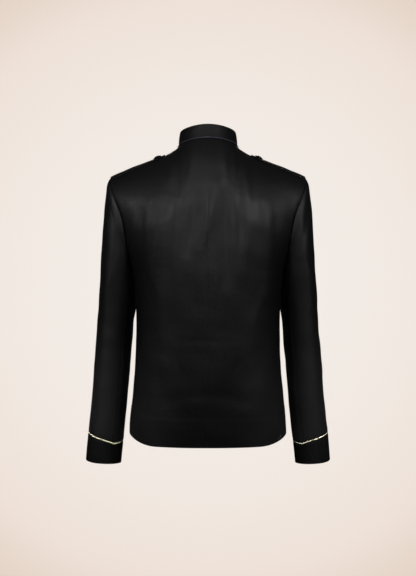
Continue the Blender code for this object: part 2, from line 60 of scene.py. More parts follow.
LEVEL_SLOPE_LIMIT = 0.28
LEAST_DISTANCE = 0.01
# Colours of the room's painted glow, from straight ahead outwards
ROOM_PAINTED_GLOW = (
    (0.000, (0.913, 0.871, 0.831)),
    (0.275, (0.879, 0.807, 0.753)),
    (0.384, (0.855, 0.753, 0.686)),
    (0.477, (0.768, 0.638, 0.546)),
)


def table(kind, *rows):
    """The rows with their values named."""
    return [kind(*row) for row in rows]


def placed(name, data):
    """A new object with this data, put into the scene."""
    made = bpy.data.objects.new(name, data)
    bpy.context.scene.collection.objects.link(made)
    return made


Light = namedtuple("Light", "name place aim width height power spread")
LIGHTS = table(
    Light,
    ("back_light", (0.0, 2.85, 0.85), (0.0, 0.0, -0.16), 0.7, 0.6, 0.28, 21),
    ("left_high_light", (1.6, 1.75, 1.3), (0.14, 0.0, -0.09), 0.5, 0.5, 0.09, 14),
    ("right_high_light", (-1.6, 1.75, 1.3), (-0.14, 0.0, -0.09), 0.5, 0.5, 0.09, 14),
    ("left_light", (1.9, 2.0, 0.7), (0.2, 0.0, -0.19), 0.6, 0.8, 0.24, 26),
    ("right_light", (-1.9, 2.0, 0.7), (-0.2, 0.0, -0.19), 0.6, 0.8, 0.24, 26),
    ("left_cuff_light", (0.6, 2.3, 1.3), (0.235, -0.03, -0.665), 0.2, 0.2, 0.17, 5),
    ("right_cuff_light", (-0.6, 2.3, 1.3), (-0.235, -0.03, -0.665), 0.2, 0.2, 0.17, 5),
    ("front_light", (0.0, -2.85, 0.85), (0.0, 0.0, -0.16), 0.9, 0.8, 0.60, 28),
)

camera_data = bpy.data.cameras.new("camera")
camera_data.lens = CAMERA_LENS
camera_data.clip_end = CAMERA_REACH
camera = placed("camera", camera_data)
camera.location = CAMERA_PLACE
camera.rotation_euler = (math.pi / 2, 0, math.pi)
bpy.context.scene.camera = camera
bpy.context.scene.view_settings.view_transform = "Standard"


def add_node(tree, kind, inputs=None, **settings):
    """A shader node with its settings, its values and the sockets that feed it."""
    made = tree.nodes.new("ShaderNode" + kind)
    for name, value in settings.items():
        setattr(made, name, value)
    for name, value in (inputs or {}).items():
        if isinstance(value, bpy.types.NodeSocket):
            tree.links.new(value, made.inputs[name])
        else:
            made.inputs[name].default_value = value
    return made


def reckon(tree, operation, *values):
    """The outcome of a sum on one to three values."""
    return add_node(tree, "Math", dict(enumerate(values)), operation=operation).outputs[0]


def root_of_squares(tree, one, other):
    squared = reckon(tree, "MULTIPLY", other, other)
    return reckon(tree, "SQRT", reckon(tree, "MULTIPLY_ADD", one, one, squared))


def room_painted_glow():
    """The room's painted glow: pale, a painted pool of light straight ahead, darker away from it.
    """
    paint = bpy.data.materials.new("room_painted_glow")
    paint.use_nodes = True
    tree = paint.node_tree
    tree.nodes.clear()
    place = add_node(tree, "TexCoord").outputs["Object"]
    parts = add_node(tree, "SeparateXYZ", {0: place}).outputs
    across = reckon(tree, "ABSOLUTE", parts[0])
    along = reckon(tree, "ABSOLUTE", parts[1])
    near = reckon(tree, "MINIMUM", across, along)
    far = reckon(tree, "MAXIMUM", across, along)
    rise = reckon(tree, "SUBTRACT", parts[2], CAMERA_PLACE[2])
    level = reckon(tree, "DIVIDE", near, reckon(tree, "MAXIMUM", far, LEAST_DISTANCE))
    level = reckon(tree, "MINIMUM", level, LEVEL_SLOPE_LIMIT)
    reach = reckon(tree, "MAXIMUM", root_of_squares(tree, along, across), LEAST_DISTANCE)
    upward = reckon(tree, "DIVIDE", rise, reach)
    ramp = add_node(tree, "ValToRGB", {0: root_of_squares(tree, level, upward)})
    stops = ramp.color_ramp.elements
    for index, (stop, shade) in enumerate(ROOM_PAINTED_GLOW):
        stop_at = stops[index] if index < 2 else stops.new(stop)
        stop_at.position = stop
        stop_at.color = (*shade, 1)
    glow = add_node(tree, "Emission", {0: ramp.outputs[0]})
    out = add_node(tree, "OutputMaterial")
    tree.links.new(glow.outputs[0], out.inputs[0])
    return paint


bpy.ops.object.select_all(action="DESELECT")
bpy.ops.mesh.primitive_uv_sphere_add(
    segments=ROOM_SIDES,
    ring_count=ROOM_SIDES // 2,
    radius=ROOM_RADIUS,
    location=(0, 0, CAMERA_PLACE[2]),
)
room = bpy.context.object
room.name = "room_walls"
bpy.ops.object.mode_set(mode="EDIT")
bpy.ops.mesh.flip_normals()
bpy.ops.object.mode_set(mode="OBJECT")
bpy.ops.object.transform_apply()
bpy.ops.mesh.primitive_circle_add(
    vertices=ROOM_SIDES, radius=ROOM_RADIUS, fill_type="NGON", location=(0, 0, ROOM_FLOOR)
)
floor = bpy.context.object
floor.name = "room_floor"
bpy.ops.object.transform_apply()
# The room's painted glow, seen by the camera but giving no light to the jacket.
paint = room_painted_glow()
for surface in (room, floor):
    surface.data.materials.append(paint)
    surface.data.shade_smooth()
    surface.visible_diffuse = False
    surface.visible_glossy = False
    surface.visible_shadow = False

world = bpy.data.worlds.new("studio_air")
world.use_nodes = True
air = world.node_tree.nodes["Background"].inputs
air["Color"].default_value = AIR_COLOUR
air["Strength"].default_value = AIR_STRENGTH
bpy.context.scene.world = world
for light in LIGHTS:
    lamp = bpy.data.lights.new(light.name, "AREA")
    lamp.shape = "RECTANGLE"
    lamp.size = light.width
    lamp.size_y = light.height
    lamp.energy = light.power
    lamp.spread = math.radians(light.spread)
    holder = placed(light.name, lamp)
    holder.location = light.place
    way = Vector(light.aim) - Vector(light.place)
    holder.rotation_euler = way.to_track_quat("-Z", "Y").to_euler()


# Back panels
# Two panels of black satin, joined by a plain seam down the middle of the back.
# They hang from the shoulders in soft uneven folds, with a turned-up hem.
OUTSIDE = 0.0020
CLOTH = 0.0014
SEAM_GAP = 0.000002
EDGE_ROLL = 0.00025
EDGE_ANGLE = math.radians(50)
STEP = 0.0042
EDGE_PLACES = np.array([0.0, 0.0012, 0.0028, 0.0050])
HEM_TURN_UP = 0.062

Section = namedtuple("Section", "height half_width back_depth front_depth")
BODY = table(
    Section,
    (-0.670, 0.1752, 0.1116, 0.1190),
    (-0.620, 0.1736, 0.1122, 0.1180),
    (-0.560, 0.1680, 0.1130, 0.1150),
    (-0.490, 0.1622, 0.1142, 0.1125),
    (-0.420, 0.1600, 0.1160, 0.1120),
    (-0.380, 0.1606, 0.1182, 0.1145),
    (-0.340, 0.1630, 0.1206, 0.1180),
    (-0.285, 0.1685, 0.1235, 0.1225),
    (-0.260, 0.1760, 0.1240, 0.1235),
    (-0.224, 0.1930, 0.1235, 0.1240),
    (-0.177, 0.2160, 0.1220, 0.1235),
    (-0.145, 0.2410, 0.1200, 0.1225),
    (-0.108, 0.2770, 0.1170, 0.1210),
    (-0.070, 0.3120, 0.1145, 0.1195),
    (0.060, 0.3700, 0.1120, 0.1180),
)
SQUARENESS = 2.4
Ridge = namedtuple("Ridge", "out back front")
SHOULDER = table(
    Ridge,
    (-0.0145, 0.0528, 0.0089),
    (0.0000, 0.0554, 0.0096),
    (0.0145, 0.0528, 0.0089),
    (0.0290, 0.0450, 0.0064),
    (0.0485, 0.0262, 0.0020),
    (0.0585, 0.0123, 0.0000),
    (0.0645, -0.0008, -0.0008),
    (0.075, -0.0095, -0.0095),
    (0.093, -0.0200, -0.0200),
    (0.130, -0.0355, -0.0355),
    (0.175, -0.0528, -0.0528),
    (0.208, -0.0662, -0.0662),
    (0.220, -0.0725, -0.0725),
    (0.240, -0.0835, -0.0835),
)
SHOULDER_ROUNDNESS = 1.7
NECK_HALF_WIDTH = 0.0645
Face = namedtuple("Face", "way depth ridge shoulder_fall neck_depth")
BACK = Face(1, "back_depth", "back", 0.160, 0.068)
FRONT = Face(-1, "front_depth", "front", 0.140, 0.076)
Armhole = namedtuple("Armhole", "height out")
ARMHOLE = table(
    Armhole,
    (-0.2850, 0.1685),
    (-0.2600, 0.1712),
    (-0.2240, 0.1770),
    (-0.1770, 0.1850),
    (-0.1450, 0.1950),
    (-0.1080, 0.2105),
    (-0.0850, 0.2175),
    (-0.0725, 0.2200),
)
UNDERARM = ARMHOLE[0].height
SHOULDER_POINT = ARMHOLE[-1].height
HEM_HEIGHT = -0.6640
HEM_SIDE_RISE = 0.0205
HEM_RISE_START = 0.40
HEM_RISE_SHARE = 0.3
NECK_SHARE = 7 / 15
UPPER_ROWS = 64
CENTRE_BUNCHING = 1.2
TOP_ROUNDS = 8
TOP_SHARE_LIMIT = 0.99

CREASE_END_LIFT = 0.62
CREASE_SWELL_BEND = 0.8
CREASE_DIP = 0.35
CREASE_NARROWING = 0.85
CREASE_FADE = 2.0
CREASE_TOP_FADE = 0.10

# Creases run from one end to the other. A ridge is positive and a trough is
# negative, and the bow is how far the middle strays to one side.
Crease = namedtuple("Crease", "out_1 height_1 out_2 height_2 spread lift bow")
BACK_CREASES = table(
    Crease,
    (-0.017, -0.106, 0.017, -0.230, 0.015, 0.0032, 0.003),
    (0.091, -0.120, 0.116, -0.233, 0.017, -0.0034, -0.004),
    (0.028, -0.130, 0.041, -0.230, 0.012, -0.0026, 0.003),
    (-0.037, -0.130, -0.041, -0.288, 0.014, -0.0035, -0.003),
    (-0.100, -0.128, -0.110, -0.218, 0.017, -0.0025, 0.004),
    (0.147, -0.155, 0.145, -0.215, 0.016, -0.0016, 0.004),
    (-0.147, -0.160, -0.146, -0.225, 0.016, -0.0013, -0.004),
    (0.126, -0.150, 0.131, -0.222, 0.013, 0.0017, 0.0),
    (-0.131, -0.182, -0.128, -0.327, 0.015, 0.0024, 0.003),
    (-0.080, -0.210, -0.078, -0.274, 0.012, 0.0023, 0.0),
    (0.055, -0.433, -0.026, -0.436, 0.009, -0.0007, 0.002),
    (0.078, -0.562, -0.075, -0.566, 0.014, -0.0009, 0.014),
    (0.068, -0.150, 0.070, -0.300, 0.011, 0.0013, -0.006),
    (-0.062, -0.160, -0.066, -0.245, 0.009, -0.0012, 0.004),
    (0.120, -0.300, 0.100, -0.420, 0.014, 0.0008, 0.010),
    (-0.118, -0.345, -0.098, -0.440, 0.013, 0.0009, -0.008),
    (0.066, -0.478, 0.058, -0.502, 0.007, -0.0007, 0.0),
    (-0.066, -0.480, -0.056, -0.500, 0.007, -0.0007, 0.0),
    (0.020, -0.290, 0.012, -0.400, 0.012, 0.0007, 0.004),
    (-0.030, -0.310, -0.018, -0.415, 0.010, -0.0006, -0.003),
    (0.112, -0.470, 0.120, -0.610, 0.015, -0.0008, 0.006),
    (-0.104, -0.500, -0.116, -0.620, 0.014, -0.0008, -0.005),
    (0.072, -0.040, 0.082, -0.110, 0.018, 0.0042, 0.0),
    (-0.072, -0.040, -0.082, -0.110, 0.018, 0.0042, 0.0),
    (0.051, -0.020, 0.053, -0.085, 0.012, -0.0022, 0.0),
    (-0.051, -0.020, -0.053, -0.085, 0.012, -0.0022, 0.0),
)


def through(stations, values, places):
    """Values at the places on a smooth curve through the stations, with no overshoot."""
    stations = np.asarray(stations, float)
    values = np.asarray(values, float)
    places = np.asarray(places, float)
    step = np.diff(stations).reshape((-1, *[1] * (values.ndim - 1)))
    slope = np.diff(values, axis=0) / step
    tangent = np.empty_like(values)
    tangent[0] = slope[0]
    tangent[-1] = slope[-1]
    product = slope[:-1] * slope[1:]
    total = np.where(product > 0, slope[:-1] + slope[1:], 1)
    tangent[1:-1] = np.where(product > 0, 2 * product / total, 0)
    low = np.clip(np.searchsorted(stations, places, "right") - 1, 0, len(stations) - 2)
    span = stations[low + 1] - stations[low]
    part = np.clip((places - stations[low]) / span, 0, 1)
    extra = [1] * (values.ndim - 1)
    span = span.reshape((*places.shape, *extra))
    part = part.reshape((*places.shape, *extra))
    start = values[low] * (1 + 2 * part) * (1 - part) ** 2
    end = values[low + 1] * part**2 * (3 - 2 * part)
    leave = tangent[low] * span * part * (1 - part) ** 2
    arrive = tangent[low + 1] * span * part**2 * (part - 1)
    return start + end + leave + arrive


def from_table(rows, name, places):
    """One column of a table, read at places along its first column."""
    return through([row[0] for row in rows], [getattr(row, name) for row in rows], places)


def eased(part):
    """Zero to one with a level start and end."""
    part = np.clip(part, 0, 1)
    return part * part * (3 - 2 * part)


def bent(values, power):
    """The values raised to this power, with their signs kept."""
    return np.sign(values) * np.abs(values) ** power


def squarish(part, power):
    """The other side of a quarter round of size one, squarer with a higher power."""
    return (1 - part**power) ** (1 / power)


def bell(distance, reach):
    """One at no distance, fading to nothing on both sides."""
    return np.exp(-((distance / reach) ** 2))


def spaced(length, step=STEP):
    """Shares of a line of this length, about a step apart and closer at both ends."""
    first = EDGE_PLACES[-1]
    middle = length - 2 * first
    between = np.linspace(0, middle, max(2, round(middle / step)) + 1)[1:-1]
    places = np.concatenate([EDGE_PLACES, first + between, (length - EDGE_PLACES)[::-1]])
    return places / length


def angle_at(out, height):
    """Angle on the body's section at this distance out from the middle."""
    share = np.clip(np.abs(out) / from_table(BODY, "half_width", height), 0, 1)
    return np.sign(out) * np.arcsin(share ** (SQUARENESS / 2))


def body_points(angle, height, face):
    """Points of the body's inside at these angles and heights."""
    half_width = from_table(BODY, "half_width", height)
    depth = from_table(BODY, face.depth, height)
    out = half_width * bent(np.sin(angle), 2 / SQUARENESS)
    fall = from_table(SHOULDER, face.ridge, np.abs(out)) - height
    left = 1 - np.clip(fall / face.shoulder_fall, 0, 1)
    reach = depth * bent(np.cos(angle), 2 / SQUARENESS) * squarish(left, SHOULDER_ROUNDNESS)
    return np.stack([out, face.way * reach, height], axis=-1)


def top_height(out, reach, face):
    """Height of the body's inside at a place on the shoulder or round the neck."""
    out = np.asarray(out, float)
    ridge = from_table(SHOULDER, face.ridge, np.abs(out))
    height = ridge
    for _ in range(TOP_ROUNDS):
        half_width = from_table(BODY, "half_width", height)
        depth = from_table(BODY, face.depth, height)
        section = squarish(np.abs(out) / half_width, SQUARENESS)
        share = np.clip(np.abs(reach) / (depth * section), 0, TOP_SHARE_LIMIT)
        height = ridge - face.shoulder_fall * (1 - squarish(share, SHOULDER_ROUNDNESS))
    return height


def armhole_out(height):
    return from_table(ARMHOLE, "out", height)


def armhole_height(part):
    """Height along the armhole, from the underarm, 0, to the shoulder point, 1."""
    return UNDERARM + (SHOULDER_POINT - UNDERARM) * (1 - np.cos(np.pi * part)) / 2


def body_grid(face, share, lower, upper):
    """Rows of points from the hem up, each from the middle line to the side."""
    neck_turn = np.clip(share / NECK_SHARE, 0, 1) * math.pi / 2
    beyond = np.clip((share - NECK_SHARE) / (1 - NECK_SHARE), 0, 1)
    shoulder_run = armhole_out(SHOULDER_POINT) - NECK_HALF_WIDTH
    top_out = NECK_HALF_WIDTH * np.sin(neck_turn) + shoulder_run * beyond
    top_reach = face.neck_depth * np.cos(neck_turn)
    top_z = top_height(top_out, top_reach, face)
    top_angle = angle_at(top_out, top_z)
    top_z_even = top_z[0] + (top_z[-1] - top_z[0]) * share
    hem_curve = eased((share - HEM_RISE_START) / (1 - HEM_RISE_START))
    rows = []
    for part in lower:
        rise = HEM_SIDE_RISE * max(0, 1 - part / HEM_RISE_SHARE)
        height = HEM_HEIGHT + (UNDERARM - HEM_HEIGHT) * part + rise * hem_curve
        rows.append(body_points(math.pi / 2 * share, height, face))
    for part in upper:
        edge_z = armhole_height(part)
        centre_z = UNDERARM + (top_z[0] - UNDERARM) * (1 - (1 - part) ** CENTRE_BUNCHING)
        height = centre_z + (edge_z - centre_z) * share + part**2 * (top_z - top_z_even)
        angle = angle_at(armhole_out(edge_z), edge_z) * share
        angle = angle + part**2 * (top_angle - top_angle[-1] * share)
        rows.append(body_points(angle, height, face))
    return np.array(rows)


def unit(vectors):
    """The vectors at length one."""
    return vectors / np.maximum(np.linalg.norm(vectors, axis=-1, keepdims=True), 1e-12)


def ways_along(points, axis, ring=False):
    """Directions from point to point along one axis, which a ring closes."""
    if ring:
        return np.roll(points, -1, axis=axis) - np.roll(points, 1, axis=axis)
    return np.gradient(points, axis=axis)


def facing_of(grid, ring=False):
    """Unit normals of a grid, towards the cloth's outside."""
    return unit(np.cross(ways_along(grid, 1, ring), ways_along(grid, 0)))


def parted(grid, gap, ends=True):
    """The grid with its sides, and its first and last rows too, drawn back from the seams."""
    grid = grid.copy()
    if ends:
        grid[0] += gap * unit(grid[1] - grid[0])
        grid[-1] += gap * unit(grid[-2] - grid[-1])
    grid[:, 0] += gap * unit(grid[:, 1] - grid[:, 0])
    grid[:, -1] += gap * unit(grid[:, -2] - grid[:, -1])
    return grid


def crease_lift(out, height, creases):
    """How far the creases lift the cloth: each fades at its ends and dips beside a ridge."""
    lift = np.zeros_like(out)
    for crease in creases:
        run_x = crease.out_2 - crease.out_1
        run_z = crease.height_2 - crease.height_1
        length = math.hypot(run_x, run_z)
        from_x = out - crease.out_1
        from_z = height - crease.height_1
        part = (from_x * run_x + from_z * run_z) / length**2
        across = (from_x * run_z - from_z * run_x) / length
        inside = np.clip(part, 0, 1)
        across = across - crease.bow * 4 * inside * (1 - inside)
        past = np.maximum(0, np.maximum(-part, part - 1)) * length
        middle_lift = np.sin(math.pi * inside**CREASE_SWELL_BEND)
        swell = CREASE_END_LIFT + (1 - CREASE_END_LIFT) * middle_lift
        square = (across / crease.spread) ** 2
        shape = (1 - CREASE_DIP * square) * np.exp(-CREASE_NARROWING * square)
        lift += crease.lift * swell * shape * bell(past, crease.spread * CREASE_FADE)
    return lift


WAVE_SEED = 5
WAVE_COUNT = 18
SHORTEST_WAVE = 0.035
LONGEST_WAVE = 0.110
WAVE_HEIGHT = 0.00016
wave_draw = np.random.default_rng(WAVE_SEED)
wave_ways = unit(wave_draw.normal(size=(WAVE_COUNT, 3)))
wave_lengths = wave_draw.uniform(SHORTEST_WAVE, LONGEST_WAVE, WAVE_COUNT)
wave_phases = wave_draw.uniform(0, 2 * math.pi, WAVE_COUNT)


def unevenness(points):
    """The gentle waves in cloth that hangs."""
    turns = points @ (wave_ways * (2 * math.pi / wave_lengths)[:, None]).T
    return np.sin(turns + wave_phases) @ (WAVE_HEIGHT * wave_lengths / LONGEST_WAVE)


Distances = namedtuple("Distances", "across left right low high")


def distances(grid, ring=False):
    """Distances along the cloth: across it, and from its four edges."""
    across = np.linalg.norm(np.diff(grid, axis=1), axis=-1).cumsum(axis=1)
    up = np.linalg.norm(np.diff(grid, axis=0), axis=-1).cumsum(axis=0)
    left = np.pad(across, ((0, 0), (1, 0)))
    low = np.pad(up, ((1, 0), (0, 0)))
    right = left[:, -1:] - left
    if ring:
        far = np.full_like(left, 1.0)
        return Distances(left, far, far, low, low[-1:] - low)
    return Distances(left, left, right, low, low[-1:] - low)


Seams = namedtuple("Seams", "left right low high")
SEAM_DIP = 0.0005
SEAM_DIP_REACH = 0.0022
SEAM_SWELL = 0.00018
SEAM_SWELL_AT = 0.0070
SEAM_SWELL_REACH = 0.0040
PUCKER = 0.00010
PUCKER_REACH = 0.0060
PUCKER_PHASE = 9
PUCKER_LENGTHS = (0.0113, 0.0171, 0.0290)


def seam_shape(distance, along):
    """The dip, the swell over the seam allowance and the pucker beside a seam."""
    dip = SEAM_DIP * bell(distance, SEAM_DIP_REACH)
    swell = SEAM_SWELL * bell(distance - SEAM_SWELL_AT, SEAM_SWELL_REACH)
    ripple = 0
    for length in PUCKER_LENGTHS:
        ripple = ripple + np.sin(2 * math.pi * along / length + PUCKER_PHASE * length)
    return swell - dip + PUCKER * ripple * np.exp(-distance / PUCKER_REACH)


def hung(grid, lift, seams, ring=False, uneven=1.0):
    """The outside of the cloth: its creases, its waves and what its seams do to it."""
    facing = facing_of(grid, ring)
    across, left, right, low, high = distances(grid, ring)
    total = OUTSIDE + lift + uneven * unevenness(grid)
    for sewn, distance, along in zip(seams, (left, right, low, high), (low, low, across, across)):
        total = total + sewn * seam_shape(distance, along)
    return grid + total[..., None] * facing


def add_mesh(name, points, faces, finishes, place=None, edge=None):
    """An object of one mesh, with the cloth's own places in it where they are given."""
    mesh = bpy.data.meshes.new(name)
    mesh.from_pydata(points.reshape(-1, 3).tolist(), [], list(faces))
    for finish in finishes:
        mesh.materials.append(finish)
    if place is not None:
        layer = mesh.uv_layers.new(name="cut")
        layer.data.foreach_set("uv", place.astype(np.float32).ravel())
    if edge is not None:
        mark = mesh.attributes.new("from_edge", "FLOAT", "POINT")
        mark.data.foreach_set("value", edge.astype(np.float32).ravel())
    mesh.shade_smooth()
    return placed(name, mesh)


def grid_faces(rows, columns, ring=False):
    """Faces of a grid, and the columns that each of their corners has on the cut cloth."""
    count = columns if ring else columns - 1
    row, column = np.meshgrid(np.arange(rows - 1), np.arange(count), indexing="ij")
    row = row.ravel()[:, None] + np.array([0, 0, 1, 1])
    column = column.ravel()[:, None] + np.array([0, 1, 1, 0])
    return row * columns + column % columns, row, column


def panel(name, outside, finishes, thickness=CLOTH, roll=EDGE_ROLL, ring=False):
    """A piece of cloth with its thickness inwards and its edges rolled."""
    rows, columns = outside.shape[:2]
    faces, row, column = grid_faces(rows, columns, ring)
    across, left, right, low, high = distances(outside, ring)
    if ring:
        last = np.linalg.norm(outside[:, 0] - outside[:, -1], axis=-1, keepdims=True)
        across = np.concatenate([across, across[:, -1:] + last], axis=1)
    low_wide = np.concatenate([low, low[:, :1]], axis=1)
    place = np.stack([across[row, column], low_wide[row, column]], axis=-1)
    edge = np.minimum(np.minimum(left, right), np.minimum(low, high))
    made = add_mesh(name, outside, faces, finishes, place, edge)
    wall = made.modifiers.new("thickness", "SOLIDIFY")
    wall.thickness = thickness
    wall.offset = -1
    wall.material_offset = len(finishes) - 1
    rim = made.modifiers.new("rolled_edge", "BEVEL")
    rim.width = roll
    rim.segments = 2
    rim.limit_method = "ANGLE"
    rim.angle_limit = EDGE_ANGLE
    return made


def wear(piece, node):
    """The piece stands in for its solid, which is hidden, and moves with the jacket."""
    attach(piece, "root")
    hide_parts(node)


Weave = namedtuple("Weave", "deep bright smooth rough rib_width rib_depth rumple gloss")
SLUB_SCALE = (1500, 140, 1)
MOTTLE_SHARE = 0.7
SLUB_SHARE = 0.3
# Painted sheen: how much lighter the cloth is painted near its edges, and over what width
PRESSED_SHEEN_SHARE = 0.12
PRESSED_SHEEN_WIDTH = 0.008
NOISE_MIDDLE = (0.3, 0.7)


def new_finish(name):
    """A material with its node tree and its shader."""
    finish = bpy.data.materials.new(name)
    finish.use_nodes = True
    return finish, finish.node_tree, finish.node_tree.nodes["Principled BSDF"]


def places_on(tree):
    """The places in the jacket, and on the cut cloth or along the thread."""
    cut = add_node(tree, "UVMap", uv_map="cut")
    return add_node(tree, "TexCoord").outputs["Object"], cut.outputs[0]


def noise(tree, place, scale, detail, roughness=0.5, distortion=0.0):
    inputs = {"Vector": place, "Scale": scale, "Detail": detail}
    inputs |= {"Roughness": roughness, "Distortion": distortion}
    return add_node(tree, "TexNoise", inputs).outputs["Fac"]


def slanting_lines(tree, cut, width, distortion, detail):
    inputs = {"Vector": cut, "Scale": math.pi / 10 / width}
    inputs |= {"Distortion": distortion, "Detail": detail}
    return add_node(tree, "TexWave", inputs, bands_direction="DIAGONAL").outputs["Fac"]


def ranged(tree, value, ends, outcome):
    """The outcomes' values where the value runs from one end to the other."""
    inputs = {"Value": value, "From Min": ends[0], "From Max": ends[1]}
    inputs |= {"To Min": outcome[0], "To Max": outcome[1]}
    return add_node(tree, "MapRange", inputs).outputs[0]


def relief(tree, height, distance, strength, **below):
    """Fine relief, over the relief below it where there is any."""
    inputs = {"Height": height, "Distance": distance, "Strength": strength, **below}
    return add_node(tree, "Bump", inputs).outputs[0]


def give_looks(tree, shader, shade, deep, bright, rough, normal):
    """Colours between deep and bright, with this roughness and relief."""
    inputs = {"Factor": shade, "A": (*deep, 1), "B": (*bright, 1)}
    colour = add_node(tree, "Mix", inputs, data_type="RGBA").outputs["Result"]
    for value, socket in ((colour, "Base Color"), (rough, "Roughness"), (normal, "Normal")):
        tree.links.new(value, shader.inputs[socket])


def black_cloth(name, weave):
    """Woven black cloth: fine slanting ribs, slubs, a soft mottle and a painted sheen at its
    edges.
    """
    finish, tree, shader = new_finish(name)
    place, cut = places_on(tree)
    mottle = noise(tree, place, scale=17, detail=4, roughness=0.6)
    rumple = noise(tree, place, scale=70, detail=3, distortion=0.4)
    drawn = add_node(tree, "Mapping", {"Vector": cut, "Scale": SLUB_SCALE}).outputs[0]
    slubs = noise(tree, drawn, scale=1, detail=2)
    ribs = slanting_lines(tree, cut, weave.rib_width, distortion=0.8, detail=1)
    edge = add_node(tree, "Attribute", attribute_name="from_edge").outputs["Fac"]
    # Painted sheen: the colour is lighter within a few millimetres of each edge.
    pressed_sheen = ranged(tree, edge, (0.0, PRESSED_SHEEN_WIDTH), (1.0, 0.0))
    shade = reckon(tree, "MULTIPLY", mottle, MOTTLE_SHARE)
    shade = reckon(tree, "MULTIPLY_ADD", slubs, SLUB_SHARE, shade)
    shade = reckon(tree, "MULTIPLY_ADD", pressed_sheen, PRESSED_SHEEN_SHARE, shade)
    rough = ranged(tree, mottle, NOISE_MIDDLE, (weave.rough, weave.smooth))
    soft = relief(tree, rumple, weave.rumple, strength=1.0)
    weave_height = reckon(tree, "ADD", ribs, slubs)
    fine = relief(tree, weave_height, weave.rib_depth, strength=0.6, Normal=soft)
    give_looks(tree, shader, shade, (weave.deep,) * 3, (weave.bright,) * 3, rough, fine)
    shader.inputs["Specular IOR Level"].default_value = weave.gloss
    return finish


black_satin = black_cloth(
    "black_satin_cloth", Weave(0.0045, 0.0085, 0.45, 0.55, 0.0008, 0.00002, 0.0005, 0.5)
)
body_lining = black_cloth(
    "body_lining_cloth", Weave(0.004, 0.008, 0.32, 0.42, 0.0006, 0.00001, 0.0004, 0.5)
)
MIRROR = np.array([-1, 1, 1])
SIDES = (("left", np.array([1, 1, 1])), ("right", MIRROR))
HALF_WIDTH = 0.250
MIDDLE_SEAM = 0.4
LOWER_RUN = UNDERARM - HEM_HEIGHT
LOWER_SHARE = 0.45
HEM_STEP = 0.0004
HEM_EDGE = 0.003
HEM_LINE_REACH = 0.0022
body_share = spaced(HALF_WIDTH)
body_share[np.argmin(np.abs(body_share - NECK_SHARE))] = NECK_SHARE
lower_rows = spaced(2 * LOWER_RUN)
lower_rows = 2 * lower_rows[lower_rows < 0.5 - STEP / LOWER_RUN / 4]
upper_rows = np.linspace(0, 1, UPPER_ROWS + 1)


def turned_hem(grid):
    """The hem's own thickness below the line where its turned-up edge is sewn."""
    from_hem = distances(grid).low
    below = eased((HEM_TURN_UP - from_hem) / HEM_EDGE + 0.5)
    return HEM_STEP * (below - bell(from_hem - HEM_TURN_UP, HEM_LINE_REACH) / 2)


def body_cloth(grid, creases):
    """Lift of a body panel's cloth. The creases end below the neck and shoulder seams."""
    upper = LOWER_SHARE + (1 - LOWER_SHARE) * upper_rows
    rows = np.concatenate([lower_rows * LOWER_SHARE, upper])[:, None]
    edge = eased((1 - rows) / CREASE_TOP_FADE)
    return crease_lift(grid[..., 0], grid[..., 2], creases) * edge + turned_hem(grid)


def worn_on(side, grid):
    """The left side's grid, or its mirror image with the faces still outwards."""
    return grid if side == "left" else (grid * MIRROR)[:, ::-1]


back = body_grid(BACK, body_share, lower_rows, upper_rows)[:, ::-1]
for side, middle, seams in (
    ("left", -1, Seams(1, MIDDLE_SEAM, 0, 1)),
    ("right", 0, Seams(MIDDLE_SEAM, 1, 0, 1)),
):
    grid = parted(worn_on(side, back), SEAM_GAP / 2)
    outside = hung(grid, body_cloth(grid, BACK_CREASES), seams)
    outside[:, middle, 0] = grid[:, middle, 0]
    piece = panel(f"back_{side}_cloth", outside, (black_satin, body_lining))
    wear(piece, f"back_{side}")


# Front panels
# Two fronts of the same satin. The left one laps over the right one down the
# middle, where its folded edge is stitched and holds the buttonholes.
LAP_HALF_WIDTH = 0.019
LAP_GAP = 0.0005
LAP_FLAT_END = 0.029
LAP_END = 0.063
LAP_COLUMNS = 7
LAP_CLOSE = 0.0045
MIDDLE_SHARES = (0.0, 0.008)
MIDDLE_SHARES_END = 0.017
FRONT_CREASES = table(
    Crease,
    (0.150, -0.165, 0.118, -0.242, 0.014, -0.0028, 0.005),
    (-0.149, -0.170, -0.121, -0.250, 0.014, -0.0026, -0.005),
    (0.130, -0.205, 0.100, -0.300, 0.014, 0.0020, 0.004),
    (-0.128, -0.210, -0.104, -0.295, 0.014, 0.0018, -0.004),
    (0.090, -0.415, 0.030, -0.432, 0.012, -0.0014, 0.004),
    (-0.085, -0.405, -0.030, -0.425, 0.012, -0.0016, 0.004),
    (0.110, -0.490, 0.085, -0.610, 0.016, 0.0014, 0.006),
    (-0.112, -0.500, -0.090, -0.615, 0.016, 0.0012, -0.006),
    (0.062, -0.120, 0.048, -0.230, 0.012, -0.0010, 0.004),
    (-0.066, -0.110, -0.050, -0.215, 0.012, -0.0011, -0.005),
    (0.088, -0.330, 0.050, -0.372, 0.009, -0.0008, 0.003),
    (-0.098, -0.345, -0.045, -0.380, 0.009, 0.0008, 0.003),
    (0.120, -0.370, 0.075, -0.398, 0.009, 0.0008, 0.003),
    (0.060, -0.520, 0.052, -0.630, 0.012, -0.0007, 0.003),
    (-0.058, -0.505, -0.050, -0.600, 0.012, -0.0007, -0.003),
    (0.066, -0.030, 0.068, -0.095, 0.013, -0.0026, 0.0),
    (-0.066, -0.030, -0.068, -0.095, 0.013, -0.0026, 0.0),
    (0.083, -0.050, 0.089, -0.105, 0.016, 0.0012, 0.0),
    (-0.083, -0.050, -0.089, -0.105, 0.016, 0.0012, 0.0),
)


